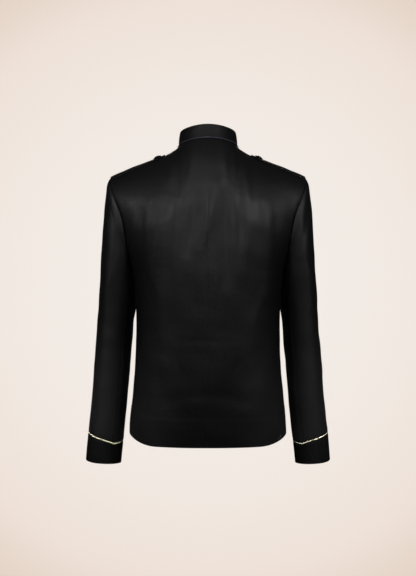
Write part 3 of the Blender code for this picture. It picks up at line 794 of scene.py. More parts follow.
def with_lap(grid):
    """The front with more columns, as far past the middle line as it laps."""
    outs = np.linspace(LAP_HALF_WIDTH, 0, LAP_COLUMNS + 1)[:-1]
    outs = outs[outs < LAP_HALF_WIDTH - LAP_CLOSE]
    outs = np.concatenate([LAP_HALF_WIDTH - EDGE_PLACES[:-1], outs])
    lap = []
    for row in grid:
        depth = np.interp(outs, row[:, 0], row[:, 1])
        height = np.interp(outs, row[:, 0], row[:, 2])
        lap.append(np.stack([-outs, depth, height], axis=-1))
    return np.concatenate([np.array(lap), grid], axis=1)


def lap_offset(out):
    """How far the left front stands out so that it clears the right front."""
    share = (out - LAP_FLAT_END) / (LAP_END - LAP_FLAT_END)
    return (OUTSIDE + LAP_GAP) * (1 - eased(share))


front_share = np.concatenate([MIDDLE_SHARES, body_share[body_share > MIDDLE_SHARES_END]])
front = with_lap(body_grid(FRONT, front_share, lower_rows, upper_rows))
front_outside = {}
for side, seams in (("left", Seams(0, 1, 0, 1)), ("right", Seams(1, 0, 0, 1))):
    grid = parted(worn_on(side, front), SEAM_GAP / 2)
    lift = body_cloth(grid, FRONT_CREASES)
    if side == "left":
        lift = lift + lap_offset(grid[..., 0])
    outside = hung(grid, lift, seams, uneven=0.7)
    front_outside[side] = outside
    piece = panel(f"front_{side}_cloth", outside, (black_satin, body_lining))
    wear(piece, f"front_{side}")


# Sleeves
# Each sleeve is cut in two, a wide top sleeve and a narrow under sleeve, joined
# by two long seams, and its head is eased into the armhole.
TOP_SLEEVE_CUT = (0.275, 0.615, 0.123)
UNDER_SLEEVE_CUT = (0.150, 0.470, 0.0478)
Ring = namedtuple("Ring", "along outer_x outer_y outer_z inner_x inner_y inner_z half_depth")
SLEEVE = table(
    Ring,
    (0.014, 0.2242, 0.000, -0.0855, 0.1717, -0.004, -0.296, 0.0700),
    (0.036, 0.2287, 0.001, -0.115, 0.1693, -0.014, -0.312, 0.0740),
    (0.073, 0.2330, 0.003, -0.165, 0.1672, -0.024, -0.333, 0.0750),
    (0.125, 0.2377, 0.004, -0.235, 0.1674, -0.031, -0.362, 0.0730),
    (0.180, 0.2420, 0.003, -0.310, 0.1722, -0.033, -0.400, 0.0695),
    (0.240, 0.2468, 0.000, -0.385, 0.1762, -0.032, -0.445, 0.0660),
    (0.300, 0.2530, -0.006, -0.460, 0.1802, -0.033, -0.495, 0.0620),
    (0.368, 0.2598, -0.016, -0.535, 0.1857, -0.037, -0.555, 0.0580),
    (0.433, 0.2674, -0.030, -0.605, 0.1917, -0.044, -0.615, 0.0545),
    (0.492, 0.2750, -0.043, -0.665, 0.1985, -0.051, -0.670, 0.0515),
    (0.552, 0.2826, -0.058, -0.730, 0.2048, -0.060, -0.730, 0.0500),
)
SLEEVE_SQUARENESS = 2.15
HINDARM_ANGLE = math.radians(124)
SLEEVE_HEAD_EASE = 0.0050
ARMHOLE_GAP = 0.0001
SLEEVE_ROWS = 132
SLEEVE_BUNCHING = 1.25
SLEEVE_GIRTH_RADIUS = 0.055
SLEEVE_STEP = 0.0046
TOP_SLEEVE_WIDTH = 0.262
UNDER_SLEEVE_WIDTH = 0.118
LINE_PLACES = 400
HEAD_CREASE_FADE = 0.05
HEAD_ARC = 1.1
CROWN = 0.0010
CROWN_AT = 0.016
CROWN_REACH = 0.012
GATHERS = 0.00022
GATHERS_PER_TURN = 26
GATHERS_PHASE = 0.7
GATHERS_REACH = 0.020
RIGHT_CREASES_SHIFT = 0.012
CORD_RADIUS = 0.0015
CUFF_SEAM_OUTER = -0.6485
CUFF_SEAM_LOWEST = -0.6725
CUFF_SEAM_INNER = -0.6712
CUFF_SEAM_BEND = 1.7
CUFF_SEAM_CUT = CORD_RADIUS + 0.0005
# Round the sleeve from its outer line, towards the back, in metres of cloth
SLEEVE_CREASES = table(
    Crease,
    (0.060, -0.150, 0.094, -0.235, 0.013, -0.0016, 0.004),
    (0.030, -0.130, 0.048, -0.215, 0.012, 0.0009, 0.003),
    (0.086, -0.262, 0.048, -0.325, 0.013, 0.0010, -0.004),
    (0.020, -0.372, 0.098, -0.408, 0.014, -0.0009, 0.006),
    (0.030, -0.436, 0.100, -0.458, 0.014, -0.0006, 0.005),
    (0.012, -0.500, 0.080, -0.540, 0.014, 0.0009, 0.006),
    (0.075, -0.570, 0.030, -0.625, 0.012, -0.0008, 0.004),
    (-0.060, -0.150, -0.098, -0.225, 0.013, -0.0017, -0.004),
    (-0.035, -0.240, -0.090, -0.300, 0.013, 0.0010, 0.004),
    (-0.040, -0.380, -0.112, -0.412, 0.010, -0.0018, -0.005),
    (-0.036, -0.412, -0.112, -0.434, 0.010, -0.0016, -0.003),
    (-0.050, -0.446, -0.108, -0.452, 0.009, 0.0012, 0.003),
    (-0.080, -0.520, -0.040, -0.600, 0.013, 0.0009, -0.004),
    (0.150, -0.350, 0.190, -0.400, 0.012, -0.0010, 0.003),
    (0.145, -0.460, 0.195, -0.500, 0.012, -0.0009, 0.003),
)


def sleeve_lines(angles):
    """Stations down the sleeve, and the points of each line at each station."""
    inner_part = (1 - np.cos(angles)) / 2
    across = bent(np.cos(angles), 2 / SLEEVE_SQUARENESS)
    through_depth = bent(np.sin(angles), 2 / SLEEVE_SQUARENESS)
    height = armhole_height(1 - np.abs(angles) / np.pi)
    out = armhole_out(height)
    section_angle = angle_at(out, height)
    behind = body_points(section_angle, height, BACK)
    before = body_points(section_angle, height, FRONT)
    armhole = np.where((angles >= 0)[:, None], behind, before)
    armhole[:, 0] += ARMHOLE_GAP + SLEEVE_HEAD_EASE * inner_part
    rings = [armhole]
    for ring in SLEEVE:
        middle_x = (ring.outer_x + ring.inner_x) / 2
        half_x = (ring.outer_x - ring.inner_x) / 2
        y = ring.outer_y + (ring.inner_y - ring.outer_y) * inner_part
        z = ring.outer_z + (ring.inner_z - ring.outer_z) * inner_part
        depth = y + ring.half_depth * through_depth
        rings.append(np.stack([middle_x + half_x * across, depth, z], axis=-1))
    return [0.0, *(ring.along for ring in SLEEVE)], np.array(rings)


def cuff_seam_height(angles):
    """Height of the cuff seam round the sleeve: high outside, lowest at the sleeve seams."""
    turn = np.abs(angles)
    fall = (CUFF_SEAM_LOWEST - CUFF_SEAM_OUTER) * (turn / HINDARM_ANGLE) ** CUFF_SEAM_BEND
    back_part = (turn - HINDARM_ANGLE) / (np.pi - HINDARM_ANGLE)
    inner = CUFF_SEAM_LOWEST + (CUFF_SEAM_INNER - CUFF_SEAM_LOWEST) * back_part
    return np.where(turn <= HINDARM_ANGLE, CUFF_SEAM_OUTER + fall, inner)


def along_at_height(stations, rings, heights):
    """How far down each line of the sleeve it reaches this height."""
    fine = np.linspace(stations[0], stations[-1], LINE_PLACES)
    line_z = through(stations, rings[..., 2], fine)
    found = [np.interp(-height, -line_z[:, i], fine) for i, height in enumerate(heights)]
    return np.array(found)


def sleeve_grid(angles, top_heights, bottom_heights, rows):
    """Points down the sleeve at these shares of each line, from the armhole or a height."""
    stations, rings = sleeve_lines(angles)
    bottom = along_at_height(stations, rings, bottom_heights)
    top = 0 * bottom
    if top_heights is not None:
        top = along_at_height(stations, rings, top_heights)
    lines = []
    for i in range(len(angles)):
        lines.append(through(stations, rings[:, i], top[i] + (bottom[i] - top[i]) * rows))
    return np.transpose(np.array(lines), (1, 0, 2))


def turned_within(angles):
    """The same angles, from minus to plus half a turn."""
    return np.where(angles > np.pi, angles - 2 * np.pi, angles)


def head_fullness(grid, angles):
    """The eased sleeve head, fullest a finger's width from the armhole seam."""
    down = distances(grid).low
    crown = CROWN * bell(down - CROWN_AT, CROWN_REACH)
    gathers = GATHERS * np.sin(angles * GATHERS_PER_TURN + GATHERS_PHASE)
    return bell(angles, HEAD_ARC) * (crown + gathers * bell(down, GATHERS_REACH))


sleeve_rows = np.linspace(0, 1, SLEEVE_ROWS + 1) ** SLEEVE_BUNCHING
top_angles = HINDARM_ANGLE * (1 - 2 * spaced(TOP_SLEEVE_WIDTH, SLEEVE_STEP))
under_arc = 2 * np.pi - 2 * HINDARM_ANGLE
under_angles = 2 * np.pi - HINDARM_ANGLE - under_arc * spaced(UNDER_SLEEVE_WIDTH, SLEEVE_STEP)
for part, angles, cut in (
    ("top_sleeve", top_angles, TOP_SLEEVE_CUT),
    ("under_sleeve", under_angles, UNDER_SLEEVE_CUT),
):
    turned = turned_within(angles)
    bottom = cuff_seam_height(turned) + CUFF_SEAM_CUT
    grid = sleeve_grid(turned, None, bottom, sleeve_rows)
    grid = parted(grid, SEAM_GAP, ends=False)
    for side, order, shift in (("left", 1, 0.0), ("right", -1, RIGHT_CREASES_SHIFT)):
        worn = worn_on(side, grid)
        across = angles[::order]
        turn = np.broadcast_to(across * SLEEVE_GIRTH_RADIUS, worn.shape[:2])
        lift = crease_lift(turn + shift, worn[..., 2] - shift, SLEEVE_CREASES)
        lift = lift * eased(sleeve_rows / HEAD_CREASE_FADE)[:, None]
        outside = hung(worn, lift + head_fullness(worn, across), Seams(1, 1, 1, 1), uneven=1.1)
        piece = panel(f"{part}_{side}_cloth", outside, (black_satin, body_lining))
        wear(piece, f"{part}_{side}")


# Cuffs
# Each cuff is a turned band of closer, duller black cloth, sewn to the sleeve
# under the cord and open at the wrist.
CUFF_CLOTH = 0.0018
CUFF_ROLL = 0.0006
CUFF_DEPTH = 0.052
CUFF_STEP = 0.0044
CUFF_TOP_COLUMNS = 73
CUFF_UNDER_COLUMNS = 33
CUFF_BOTTOM_OUTER = -0.7130
CUFF_BOTTOM_INNER = -0.7232
CUFF_CREASES = table(
    Crease,
    (0.020, -0.664, 0.026, -0.706, 0.010, 0.0005, 0.002),
    (0.088, -0.684, 0.082, -0.716, 0.009, -0.0005, 0.002),
    (-0.060, -0.672, -0.054, -0.712, 0.011, -0.0006, 0.002),
)
cuff_cloth = black_cloth(
    "cuff_band_cloth", Weave(0.0022, 0.0046, 0.60, 0.70, 0.0010, 0.00003, 0.0004, 0.15)
)
over_turn = np.linspace(HINDARM_ANGLE, -HINDARM_ANGLE, CUFF_TOP_COLUMNS)
under_turn = np.linspace(2 * np.pi - HINDARM_ANGLE, HINDARM_ANGLE, CUFF_UNDER_COLUMNS)[1:-1]
cuff_turn = np.concatenate([over_turn, under_turn])
cuff_angles = turned_within(cuff_turn)
cuff_seam = cuff_seam_height(cuff_angles)
cuff_fall = (CUFF_BOTTOM_INNER - CUFF_BOTTOM_OUTER) * np.abs(cuff_angles) / np.pi
cuff_bottom = CUFF_BOTTOM_OUTER + cuff_fall
cuff_rows = spaced(CUFF_DEPTH, CUFF_STEP)
cuff = sleeve_grid(cuff_angles, cuff_seam - CUFF_SEAM_CUT, cuff_bottom, cuff_rows)
for side, order in (("left", 1), ("right", -1)):
    worn = worn_on(side, cuff)
    turn = np.broadcast_to(cuff_turn[::order] * SLEEVE_GIRTH_RADIUS, worn.shape[:2])
    lift = crease_lift(turn, worn[..., 2], CUFF_CREASES)
    outside = hung(worn, lift, Seams(0, 0, 1, 0), ring=True, uneven=0.6)
    piece = panel(f"cuff_{side}_cloth", outside, (cuff_cloth,), CUFF_CLOTH, CUFF_ROLL, ring=True)
    wear(piece, f"cuff_{side}")


# Cords round the cuffs
# A three-strand cord of pale gold thread is sewn over each cuff seam. It dips
# to a point at the two sleeve seams.
CORD_SIDES = 22
CORD_STATION = 0.0006
CORD_PITCH = 0.0078
CORD_STRANDS = 3
CORD_GROOVE = 0.17
CORD_LOBE_BEND = 0.8
# Share of the painted shade in the grooves between the fibres
GROOVE_SHADE_SHARE = 0.55
WEAR_SHARE = 0.55
ROUGH_SPREAD = 0.06
Thread = namedtuple("Thread", "deep bright rough fibre_width fibre_depth sheen")


def thread_finish(name, thread):
    """Spun thread: fine slanting fibres, painted darker between them as painted shade in the
    grooves.
    """
    finish, tree, shader = new_finish(name)
    place, cut = places_on(tree)
    fibres = slanting_lines(tree, cut, thread.fibre_width, distortion=1.5, detail=2)
    worn_off = noise(tree, place, scale=160, detail=3)
    # Painted shade: the colour darkens in the grooves between the fibres.
    shade = reckon(tree, "MULTIPLY", fibres, GROOVE_SHADE_SHARE)
    shade = reckon(tree, "MULTIPLY_ADD", worn_off, WEAR_SHARE, shade)
    ends = (thread.rough - ROUGH_SPREAD, thread.rough + ROUGH_SPREAD)
    rough = ranged(tree, worn_off, NOISE_MIDDLE, ends)
    fine = relief(tree, fibres, thread.fibre_depth, strength=0.8)
    give_looks(tree, shader, shade, thread.deep, thread.bright, rough, fine)
    shader.inputs["Sheen Weight"].default_value = thread.sheen
    return finish


def resampled(line, others, station, ring=False):
    """The line at even stations, with what goes with its points, and its length."""
    if ring:
        line = np.concatenate([line, line[:1]])
        others = np.concatenate([others, others[:1]])
    steps = np.linalg.norm(np.diff(line, axis=0), axis=1)
    along = np.concatenate([[0], steps.cumsum()])
    count = round(along[-1] / station)
    places = np.linspace(0, along[-1], count + 1)
    if ring:
        places = places[:-1]
    return through(along, line, places), through(along, others, places), places, along[-1]


def cord(name, line, outward, radius, finish, groove=0.0, station=CORD_STATION, ring=False):
    """A round cord along a line, twisted from strands where it has a groove."""
    line, outward, places, length = resampled(line, outward, station, ring)
    along = unit(ways_along(line, 0, ring))
    outward = unit(outward - np.sum(outward * along, axis=1, keepdims=True) * along)
    beside = np.cross(along, outward)
    twists = round(length / CORD_PITCH * CORD_STRANDS) / CORD_STRANDS
    twist = 2 * math.pi * twists * places / length
    turn = np.arange(CORD_SIDES) / CORD_SIDES * 2 * math.pi
    phase = turn[None, :] - twist[:, None]
    lobes = np.abs(np.cos(CORD_STRANDS / 2 * phase)) ** CORD_LOBE_BEND
    reach = radius * (1 - groove + groove * lobes)
    way = np.cos(turn)[:, None] * outward[:, None] + np.sin(turn)[:, None] * beside[:, None]
    rings = line[:, None] + reach[..., None] * way
    rows = len(rings)
    faces, row, column = grid_faces(rows + int(ring), CORD_SIDES, ring=True)
    faces = (faces % (rows * CORD_SIDES)).tolist()
    across = 2 * math.pi * radius * (column / CORD_SIDES - twists * row / rows)
    place = np.stack([row * station, across], axis=-1)
    if not ring:
        last = (rows - 1) * CORD_SIDES
        faces.append(list(range(CORD_SIDES))[::-1])
        faces.append(list(range(last, last + CORD_SIDES)))
        place = np.concatenate([place.reshape(-1, 2), np.zeros((2 * CORD_SIDES, 2))])
    return add_mesh(name, rings, faces, (finish,), place)


gold_thread = thread_finish(
    "gold_thread", Thread((0.66, 0.57, 0.33), (0.93, 0.89, 0.68), 0.42, 0.0003, 0.00006, 0.25)
)
following = np.roll(cuff_turn, -1)
step_back = np.mod(cuff_turn - following, 2 * np.pi)
between = np.mod(cuff_turn - step_back / 2, 2 * np.pi)
cord_turn = np.stack([cuff_turn, between], axis=1).ravel()
cord_angles = turned_within(np.mod(cord_turn, 2 * np.pi))
cord_seam = cuff_seam_height(cord_angles)
cord_ring = sleeve_grid(
    cord_angles, cord_seam + CUFF_SEAM_CUT, cord_seam - CUFF_SEAM_CUT, np.array([0.0, 0.5, 1.0])
)
cord_facing = facing_of(cord_ring, ring=True)[1]
cord_line = cord_ring[1] + OUTSIDE / 2 * cord_facing
for side, flip in SIDES:
    piece = cord(
        f"cuff_cord_{side}",
        cord_line * flip,
        cord_facing * flip,
        CORD_RADIUS,
        gold_thread,
        CORD_GROOVE,
        ring=True,
    )
    wear(piece, f"cuff_piping_{side}")


# Collar
# A stiffened stand collar of two layers turned along the top edge, a little
# higher in front, with its two ends meeting at the centre front. Its foot goes
# down inside the neck edge, where it is sewn in.
COLLAR_CLOTH = 0.0018
COLLAR_ROLL = 0.0006
COLLAR_LIFT = 0.0028
# Height of the top edge, as cosines of none, one, two and three times round
COLLAR_TOP = (0.0279, -0.0149, -0.0026, -0.0019)
COLLAR_TOP_INSET = 0.0030
COLLAR_BOW = 0.0008
COLLAR_OPENING = 0.0001
COLLAR_FINENESS = 2
COLLAR_END_PLACE = 0.3
COLLAR_HEIGHT = 0.036
COLLAR_STEP = 0.0034
COLLAR_ALLOWANCE = ((-0.0100, -0.0042), (-0.0040, -0.0038), (0.0002, -0.0032))
NECK_POINTS = 28
DRAFT_COLUMNS = np.linspace(0, 1, 61)
DRAFT_LOWER = np.arange(10) / 10
DRAFT_UPPER = np.linspace(0, 1, 12)


def neck_edge():
    """Points round the neck edge from the centre front, their normals and their lap."""
    last = NECK_POINTS
    halves = []
    for face in (FRONT, BACK):
        draft = body_grid(face, DRAFT_COLUMNS, DRAFT_LOWER, DRAFT_UPPER)
        halves.append(np.stack([draft[-1], -face.way * facing_of(draft)[-1]]))
    before, behind = halves
    points, facing = np.concatenate([before[:, :last], behind[:, last::-1]], axis=1)
    facing[last] = (before[1, last] + behind[1, last]) / 2
    points = np.concatenate([points, points[-2::-1] * MIRROR])
    facing = unit(np.concatenate([facing, facing[-2::-1] * MIRROR]))
    out = points[:, 0]
    beyond = eased((-out - LAP_HALF_WIDTH) / LAP_HALF_WIDTH)
    lap = np.where(out < 0, (1 - beyond) * lap_offset(0.0), lap_offset(out))
    return points, facing, lap * (points[:, 1] < 0)


def outwards(points):
    """Level directions away from the neck's middle line."""
    return unit(points * [1, 1, 0])


def round_neck_line(points):
    """A finer line round the neck, its two ends drawn apart at the centre front."""
    points = points.copy()
    points[0, 0] += COLLAR_OPENING / 2
    points[-1, 0] -= COLLAR_OPENING / 2
    return through(np.arange(len(points)), points, neck_places)


collar_cloth = black_cloth(
    "collar_band_cloth", Weave(0.0020, 0.0150, 0.50, 0.64, 0.0010, 0.00003, 0.0011, 0.33)
)
neck, neck_facing, neck_lap = neck_edge()
round_neck = np.linspace(0, 2 * math.pi, len(neck))
collar_top = sum(size * np.cos(times * round_neck) for times, size in enumerate(COLLAR_TOP))
collar_top = collar_top - neck[:, 2]
neck_end = len(neck) - 1
neck_places = np.linspace(0, neck_end, COLLAR_FINENESS * neck_end + 1)
neck_places = np.append(neck_places, [COLLAR_END_PLACE, neck_end - COLLAR_END_PLACE])
neck_places.sort()
collar_levels = [(np.full(len(neck), rise), inset) for rise, inset in COLLAR_ALLOWANCE]
foot = COLLAR_LIFT + neck_lap / 2
for part in spaced(COLLAR_HEIGHT, COLLAR_STEP):
    bow = COLLAR_BOW * math.sin(math.pi * part) - COLLAR_TOP_INSET * part
    collar_levels.append((foot + (collar_top - foot) * part, bow))
collar_rows = []
for rise, bow in collar_levels:
    row = neck + rise[:, None] * [0, 0, 1] + bow * outwards(neck)
    collar_rows.append(round_neck_line(row))
collar_grid = np.array(collar_rows)
collar_outside = hung(collar_grid, 0 * collar_grid[..., 0], Seams(0, 0, 0, 0), uneven=0.5)
piece = panel("collar_cloth", collar_outside, (collar_cloth,), COLLAR_CLOTH, COLLAR_ROLL)
wear(piece, "collar")


# Piping round the neck
# A narrow roll of satin, cut on the cross and filled with cord, is sewn in with the collar along
# the neck seam. Its faint violet is its own tint; its pale grey is a painted highlight of the
# seam edge catching light.
NECK_CORD_RADIUS = 0.0010
NECK_CORD_EASE = 0.0006
NECK_CORD_STATION = 0.0016
# Pale violet-grey: a faint violet tint of its own, made pale by a painted highlight.
piping_painted_highlight = thread_finish(
    "piping_painted_highlight", Thread((0.100, 0.093, 0.150), (0.180, 0.168, 0.240), 0.40, 0.0005, 0.00003, 0.1)
)
neck_outward = outwards(neck)
reach = OUTSIDE + NECK_CORD_EASE + NECK_CORD_RADIUS
level = np.sum(neck_facing * neck_outward, axis=1)
rise = (reach + neck_lap - level * reach) / neck_facing[:, 2]
neck_line = round_neck_line(neck + reach * neck_outward + rise[:, None] * [0, 0, 1])
piece = cord(
    "neck_cord",
    neck_line,
    outwards(neck_line),
    NECK_CORD_RADIUS,
    piping_painted_highlight,
    station=NECK_CORD_STATION,
)
wear(piece, "neck_piping")


# Shoulder straps
# A pointed strap of doubled satin is sewn into each armhole seam, lies along
# the shoulder and is held by a button near the neck.
STRAP_CLOTH = 0.0018
STRAP_ROLL = 0.0006
STRAP_OUTER_END = 0.2175
STRAP_SQUARE_END = 0.1120
STRAP_POINT = 0.0955
STRAP_OUTER_HALF_WIDTH = 0.0250
STRAP_INNER_HALF_WIDTH = 0.0205
STRAP_POINT_BEND = 1.6
STRAP_BUTTON_OUT = 0.1135
STRAP_LIFT = OUTSIDE + 0.0007
STRAP_WIDTH = 0.046
STRAP_ROW_STEP = 0.0032
STRAP_LENGTH = 0.115
STRAP_COLUMN_STEP = 0.0036
STRAP_CREASES = table(
    Crease,
    (0.150, -0.012, 0.172, 0.010, 0.008, 0.0004, 0.001),
    (0.186, 0.016, 0.200, -0.010, 0.008, -0.0003, 0.001),
)


def strap_grid(rows, columns):
    """Points of the shoulder under the strap, from its outer end to its point."""
    lines = []
    narrowing = STRAP_OUTER_HALF_WIDTH - STRAP_INNER_HALF_WIDTH
    for part in rows:
        end = STRAP_POINT + (STRAP_SQUARE_END - STRAP_POINT) * abs(part) ** STRAP_POINT_BEND
        out = STRAP_OUTER_END + (end - STRAP_OUTER_END) * columns
        share = (STRAP_OUTER_END - out) / (STRAP_OUTER_END - STRAP_POINT)
        reach = part * (STRAP_OUTER_HALF_WIDTH - narrowing * share)
        height = top_height(out, reach, BACK if part >= 0 else FRONT)
        lines.append(np.stack([out, reach, height], axis=-1))
    return np.array(lines)


strap_rows = 2 * spaced(STRAP_WIDTH, STRAP_ROW_STEP) - 1
strap_under = strap_grid(strap_rows, spaced(STRAP_LENGTH, STRAP_COLUMN_STEP))
strap_up = -facing_of(strap_under)
strap = (strap_under + STRAP_LIFT * strap_up)[:, ::-1]
strap_outside = {}
for side in ("left", "right"):
    worn = worn_on(side, strap)
    lift = crease_lift(np.abs(worn[..., 0]), worn[..., 1], STRAP_CREASES)
    outside = hung(worn, lift, Seams(0, 0, 0, 0), uneven=0.5)
    strap_outside[side] = outside
    piece = panel(f"strap_{side}_cloth", outside, (black_satin,), STRAP_CLOTH, STRAP_ROLL)
    wear(piece, f"shoulder_strap_{side}")


# Buttons
# Domed dark buttons with a turned rim, sewn on by a shank: seven down the front
# and one on each strap.
BUTTON_RADIUS = 0.0095
BUTTON_BASE = 0.0012
BUTTON_SIDES = 40
BUTTON_TOP_FACING = 0.9
BUTTON_TURNING = (
    (0.0008, 0.0007),
    (0.0008, 0.0000),
    (0.0005, -0.0004),
    (0.0006, 0.0008),
    (0.0011, 0.0008),
    (0.0013, 0.0006),
    (0.0015, 0.0003),
    (0.0015, 0.0001),
)
BUTTON_ROLL = 0.00018
BUTTON_ROLL_ANGLE = math.radians(28)
BUTTON_SMOOTH_ANGLE = math.radians(32)
HORN_DEEP = (0.003, 0.003, 0.003)
HORN_BRIGHT = (0.012, 0.011, 0.010)
HORN_ROUGHNESS = (0.26, 0.42)
HORN_GRAIN_SCALE = (90, 90, 420)
HORN_SCUFF_DEPTH = 0.00003
FRONT_BUTTONS = 7
FIRST_BUTTON_HEIGHT = -0.085
LAST_BUTTON_HEIGHT = -0.590
BUTTON_EASE = 0.0005


def button_finish():
    """Dark horn with a faint grain and fine scuffs."""
    finish, tree, shader = new_finish("dark_horn")
    place = add_node(tree, "TexCoord").outputs["Object"]
    drawn = add_node(tree, "Mapping", {"Vector": place, "Scale": HORN_GRAIN_SCALE}).outputs[0]
    grain = noise(tree, drawn, scale=1, detail=5)
    scuffs = noise(tree, place, scale=900, detail=3)
    rough = ranged(tree, scuffs, NOISE_MIDDLE, HORN_ROUGHNESS)
    fine = relief(tree, scuffs, HORN_SCUFF_DEPTH, strength=0.5)
    give_looks(tree, shader, grain, HORN_DEEP, HORN_BRIGHT, rough, fine)
    return finish


def turn_button():
    """One button at the origin, turned from a disc."""
    bpy.ops.object.select_all(action="DESELECT")
    bpy.ops.mesh.primitive_cylinder_add(
        vertices=BUTTON_SIDES,
        radius=BUTTON_RADIUS,
        depth=BUTTON_BASE,
        location=(0, 0, BUTTON_BASE / 2),
    )
    made = bpy.context.object
    bpy.ops.object.transform_apply()
    for part in (*made.data.edges, *made.data.vertices):
        part.select = False
    for face in made.data.polygons:
        face.select = face.normal.z > BUTTON_TOP_FACING
    bpy.ops.object.mode_set(mode="EDIT")
    bpy.ops.mesh.select_mode(type="FACE")
    for inset, rise in BUTTON_TURNING:
        bpy.ops.mesh.inset(thickness=inset)
        bpy.ops.transform.translate(value=(0, 0, rise))
    bpy.ops.object.mode_set(mode="OBJECT")
    edges = made.modifiers.new("turned_edges", "BEVEL")
    edges.width = BUTTON_ROLL
    edges.segments = 2
    edges.limit_method = "ANGLE"
    edges.angle_limit = BUTTON_ROLL_ANGLE
    bpy.ops.object.modifier_apply(modifier=edges.name)
    bpy.ops.object.shade_smooth_by_angle(angle=BUTTON_SMOOTH_ANGLE)
    made.data.materials.append(button_finish())
    return made


def place_button(name, pattern, place, up, node):
    """A copy of the button, sewn on at this place and facing up from the cloth."""
    made = pattern.copy()
    made.data = pattern.data.copy()
    made.name = name
    turn = Vector((0, 0, 1)).rotation_difference(Vector(up)).to_matrix().to_4x4()
    made.data.transform(Matrix.Translation(Vector(place)) @ turn)
    bpy.context.scene.collection.objects.link(made)
    wear(made, node)


def cloth_at(outside, out, height):
    """The point of a panel's outside at this distance out and height, and its facing."""
    facing = facing_of(outside).reshape(-1, 3)
    points = outside.reshape(-1, 3)
    near = np.argmin((points[:, 0] - out) ** 2 + (points[:, 2] - height) ** 2)
    point, way = points[near], facing[near]
    depth = point[1] - (way[0] * (out - point[0]) + way[2] * (height - point[2])) / way[1]
    return np.array([out, depth, height]), way


pattern = turn_button()
button_heights = np.linspace(FIRST_BUTTON_HEIGHT, LAST_BUTTON_HEIGHT, FRONT_BUTTONS)
for number, height in enumerate(button_heights, 1):
    place, up = cloth_at(front_outside["left"], 0.0, height)
    up = unit(up * [0, 1, 1])
    name = f"front_button_{number}"
    place_button(f"sewn_{name}", pattern, place + BUTTON_EASE * up, up, name)
strap_middle = int(np.argmin(np.abs(strap_rows)))
strap_line = strap_under[strap_middle]
strap_at = int(np.argmin(np.abs(strap_line[:, 0] - STRAP_BUTTON_OUT)))
strap_button_up = strap_up[strap_middle, strap_at]
strap_button_place = strap_line[strap_at] + (STRAP_LIFT + OUTSIDE + BUTTON_EASE) * strap_button_up
for side, flip in SIDES:
    name = f"strap_button_{side}"
    place_button(f"sewn_{name}", pattern, strap_button_place * flip, strap_button_up * flip, name)
bpy.data.objects.remove(pattern)


# Stitching
# Black thread: a row along the edge of the left front, the collar and the straps,
# and close buttonhole stitches beside each button.
THREAD_RADIUS = 0.00020
STITCH_LENGTH = 0.0024
STITCH_PITCH = 0.0031
STITCH_STATION = 0.0005
STITCH_SIDES = 6
STITCH_SINK = 0.25
STITCH_START = 0.1
STITCH_ALONG = np.array([0.0, 0.16, 0.5, 0.84, 1.0])
STITCH_FULLNESS = np.array([0.35, 0.85, 1.0, 0.85, 0.35])
HOLE_START = -0.0030
HOLE_END = 0.0190
HOLE_BAR = 0.0021
HOLE_BAR_GAP = 0.00016
HOLE_PITCH = 0.00052
HOLE_THREAD_RADIUS = 0.00026
HOLE_FAN = 7
EDGE_PLACE = 3
STRAP_HOLE_STEPS = 6


def stitch_mesh(starts, ends, facing, radius):
    """Points and faces of many short stitches, each dipping into the cloth at both ends."""
    way = ends - starts
    along = unit(way)
    side = unit(np.cross(facing, along))
    up = np.cross(along, side)
    arch = radius * (np.sin(math.pi * STITCH_ALONG) - STITCH_SINK)
    centre = starts[:, None] + way[:, None] * STITCH_ALONG[None, :, None]
    centre = centre + up[:, None] * arch[None, :, None]
    turn = np.arange(STITCH_SIDES) / STITCH_SIDES * 2 * math.pi
    ring = np.cos(turn)[:, None] * side[:, None] + np.sin(turn)[:, None] * up[:, None]
    points = centre[:, :, None] + radius * STITCH_FULLNESS[None, :, None, None] * ring[:, None]
    faces, _, _ = grid_faces(len(STITCH_ALONG), STITCH_SIDES, ring=True)
    last = (len(STITCH_ALONG) - 1) * STITCH_SIDES
    ends_closed = [[3, 2, 1, 0], [5, 4, 3, 0], [last, last + 1, last + 2, last + 3]]
    ends_closed.append([last, last + 3, last + 4, last + 5])
    one = np.concatenate([faces, ends_closed])
    shift = np.arange(len(starts)) * len(STITCH_ALONG) * STITCH_SIDES
    return points.reshape(-1, 3), (one[None] + shift[:, None, None]).reshape(-1, 4)


def running_stitches(line, facing):
    """Starts, ends and facing of the stitches along a line on the cloth."""
    points, ways, places, length = resampled(line, facing, STITCH_STATION)
    begins = (np.arange(int(length / STITCH_PITCH)) + STITCH_START) * STITCH_PITCH

    def found(shift, values):
        wanted = begins + shift
        return np.stack([np.interp(wanted, places, column) for column in values.T], axis=-1)

    return found(0, points), found(STITCH_LENGTH, points), found(STITCH_LENGTH / 2, ways)


def hole_stitches(place, end, facing):
    """Bars on both sides of a slot from the button towards this end, and a fan round its tip."""
    along = unit(end - place)
    facing = unit(facing - (facing @ along) * along)
    side = np.cross(facing, along)
    steps = np.arange(HOLE_START, HOLE_END, HOLE_PITCH)
    fan = np.linspace(-math.pi / 2, math.pi / 2, HOLE_FAN)[1:-1]
    spokes = np.cos(fan)[:, None] * along + np.sin(fan)[:, None] * side
    slot = np.tile(side, (len(steps), 1))
    steps = np.concatenate([steps, steps, np.full(len(fan), steps[-1])])
    base = place + steps[:, None] * along
    bars = np.concatenate([slot, -slot, spokes])
    starts = base + HOLE_BAR_GAP * bars
    return starts, base + HOLE_BAR * bars, np.broadcast_to(facing, starts.shape)


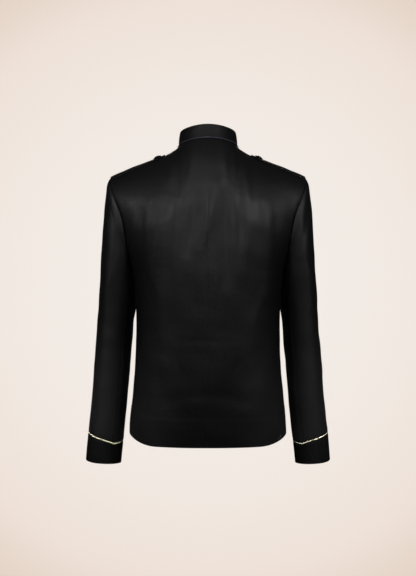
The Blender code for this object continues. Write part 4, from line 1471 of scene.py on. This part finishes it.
def sew(name, rows, radius=THREAD_RADIUS):
    """One piece of thread from several rows of stitches."""
    starts, ends, facing = (np.concatenate(part) for part in zip(*rows))
    points, faces = stitch_mesh(starts, ends, facing, radius)
    made = add_mesh(name, points, faces, (black_thread,), np.zeros((faces.size, 2)))
    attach(made, "root")


def edge_stitching(outside, lines):
    """Running stitches along these lines of a panel's outside."""
    facing = facing_of(outside)
    return [running_stitches(outside[line], facing[line]) for line in lines]


black_thread = thread_finish(
    "black_thread",
    Thread((0.005, 0.005, 0.005), (0.012, 0.012, 0.013), 0.45, 0.0003, 0.00003, 0.1),
)
left_front = front_outside["left"]
sew("front_edge_stitching", edge_stitching(left_front, [(slice(2, None), EDGE_PLACE)]))

far_place = -1 - EDGE_PLACE
between_edges = slice(EDGE_PLACE, -EDGE_PLACE)
above_seam = slice(len(COLLAR_ALLOWANCE) + 2, far_place)
border = [(above_seam, EDGE_PLACE), (far_place, between_edges), (above_seam, far_place)]
sew("collar_stitching", edge_stitching(collar_outside, border))

for side, outside in strap_outside.items():
    point, from_point = EDGE_PLACE, slice(EDGE_PLACE, None)
    if side == "right":
        point, from_point = far_place, slice(None, -EDGE_PLACE)
    border = [(EDGE_PLACE, from_point), (far_place, from_point), (between_edges, point)]
    sew(f"strap_stitching_{side}", edge_stitching(outside, border))

holes = []
for height in button_heights:
    place, facing = cloth_at(left_front, 0.0, height)
    end, _ = cloth_at(left_front, HOLE_END, height)
    holes.append(hole_stitches(place, end, facing))
sew("front_buttonholes", holes, radius=HOLE_THREAD_RADIUS)

strap_far_up = strap_up[strap_middle, strap_at - STRAP_HOLE_STEPS]
strap_far = strap_line[strap_at - STRAP_HOLE_STEPS] + (STRAP_LIFT + OUTSIDE) * strap_far_up
strap_near = strap_button_place - BUTTON_EASE * strap_button_up
for side, flip in SIDES:
    hole = hole_stitches(strap_near * flip, strap_far * flip, strap_button_up * flip)
    sew(f"strap_buttonhole_{side}", [hole], radius=HOLE_THREAD_RADIUS)


bpy.context.view_layer.update()
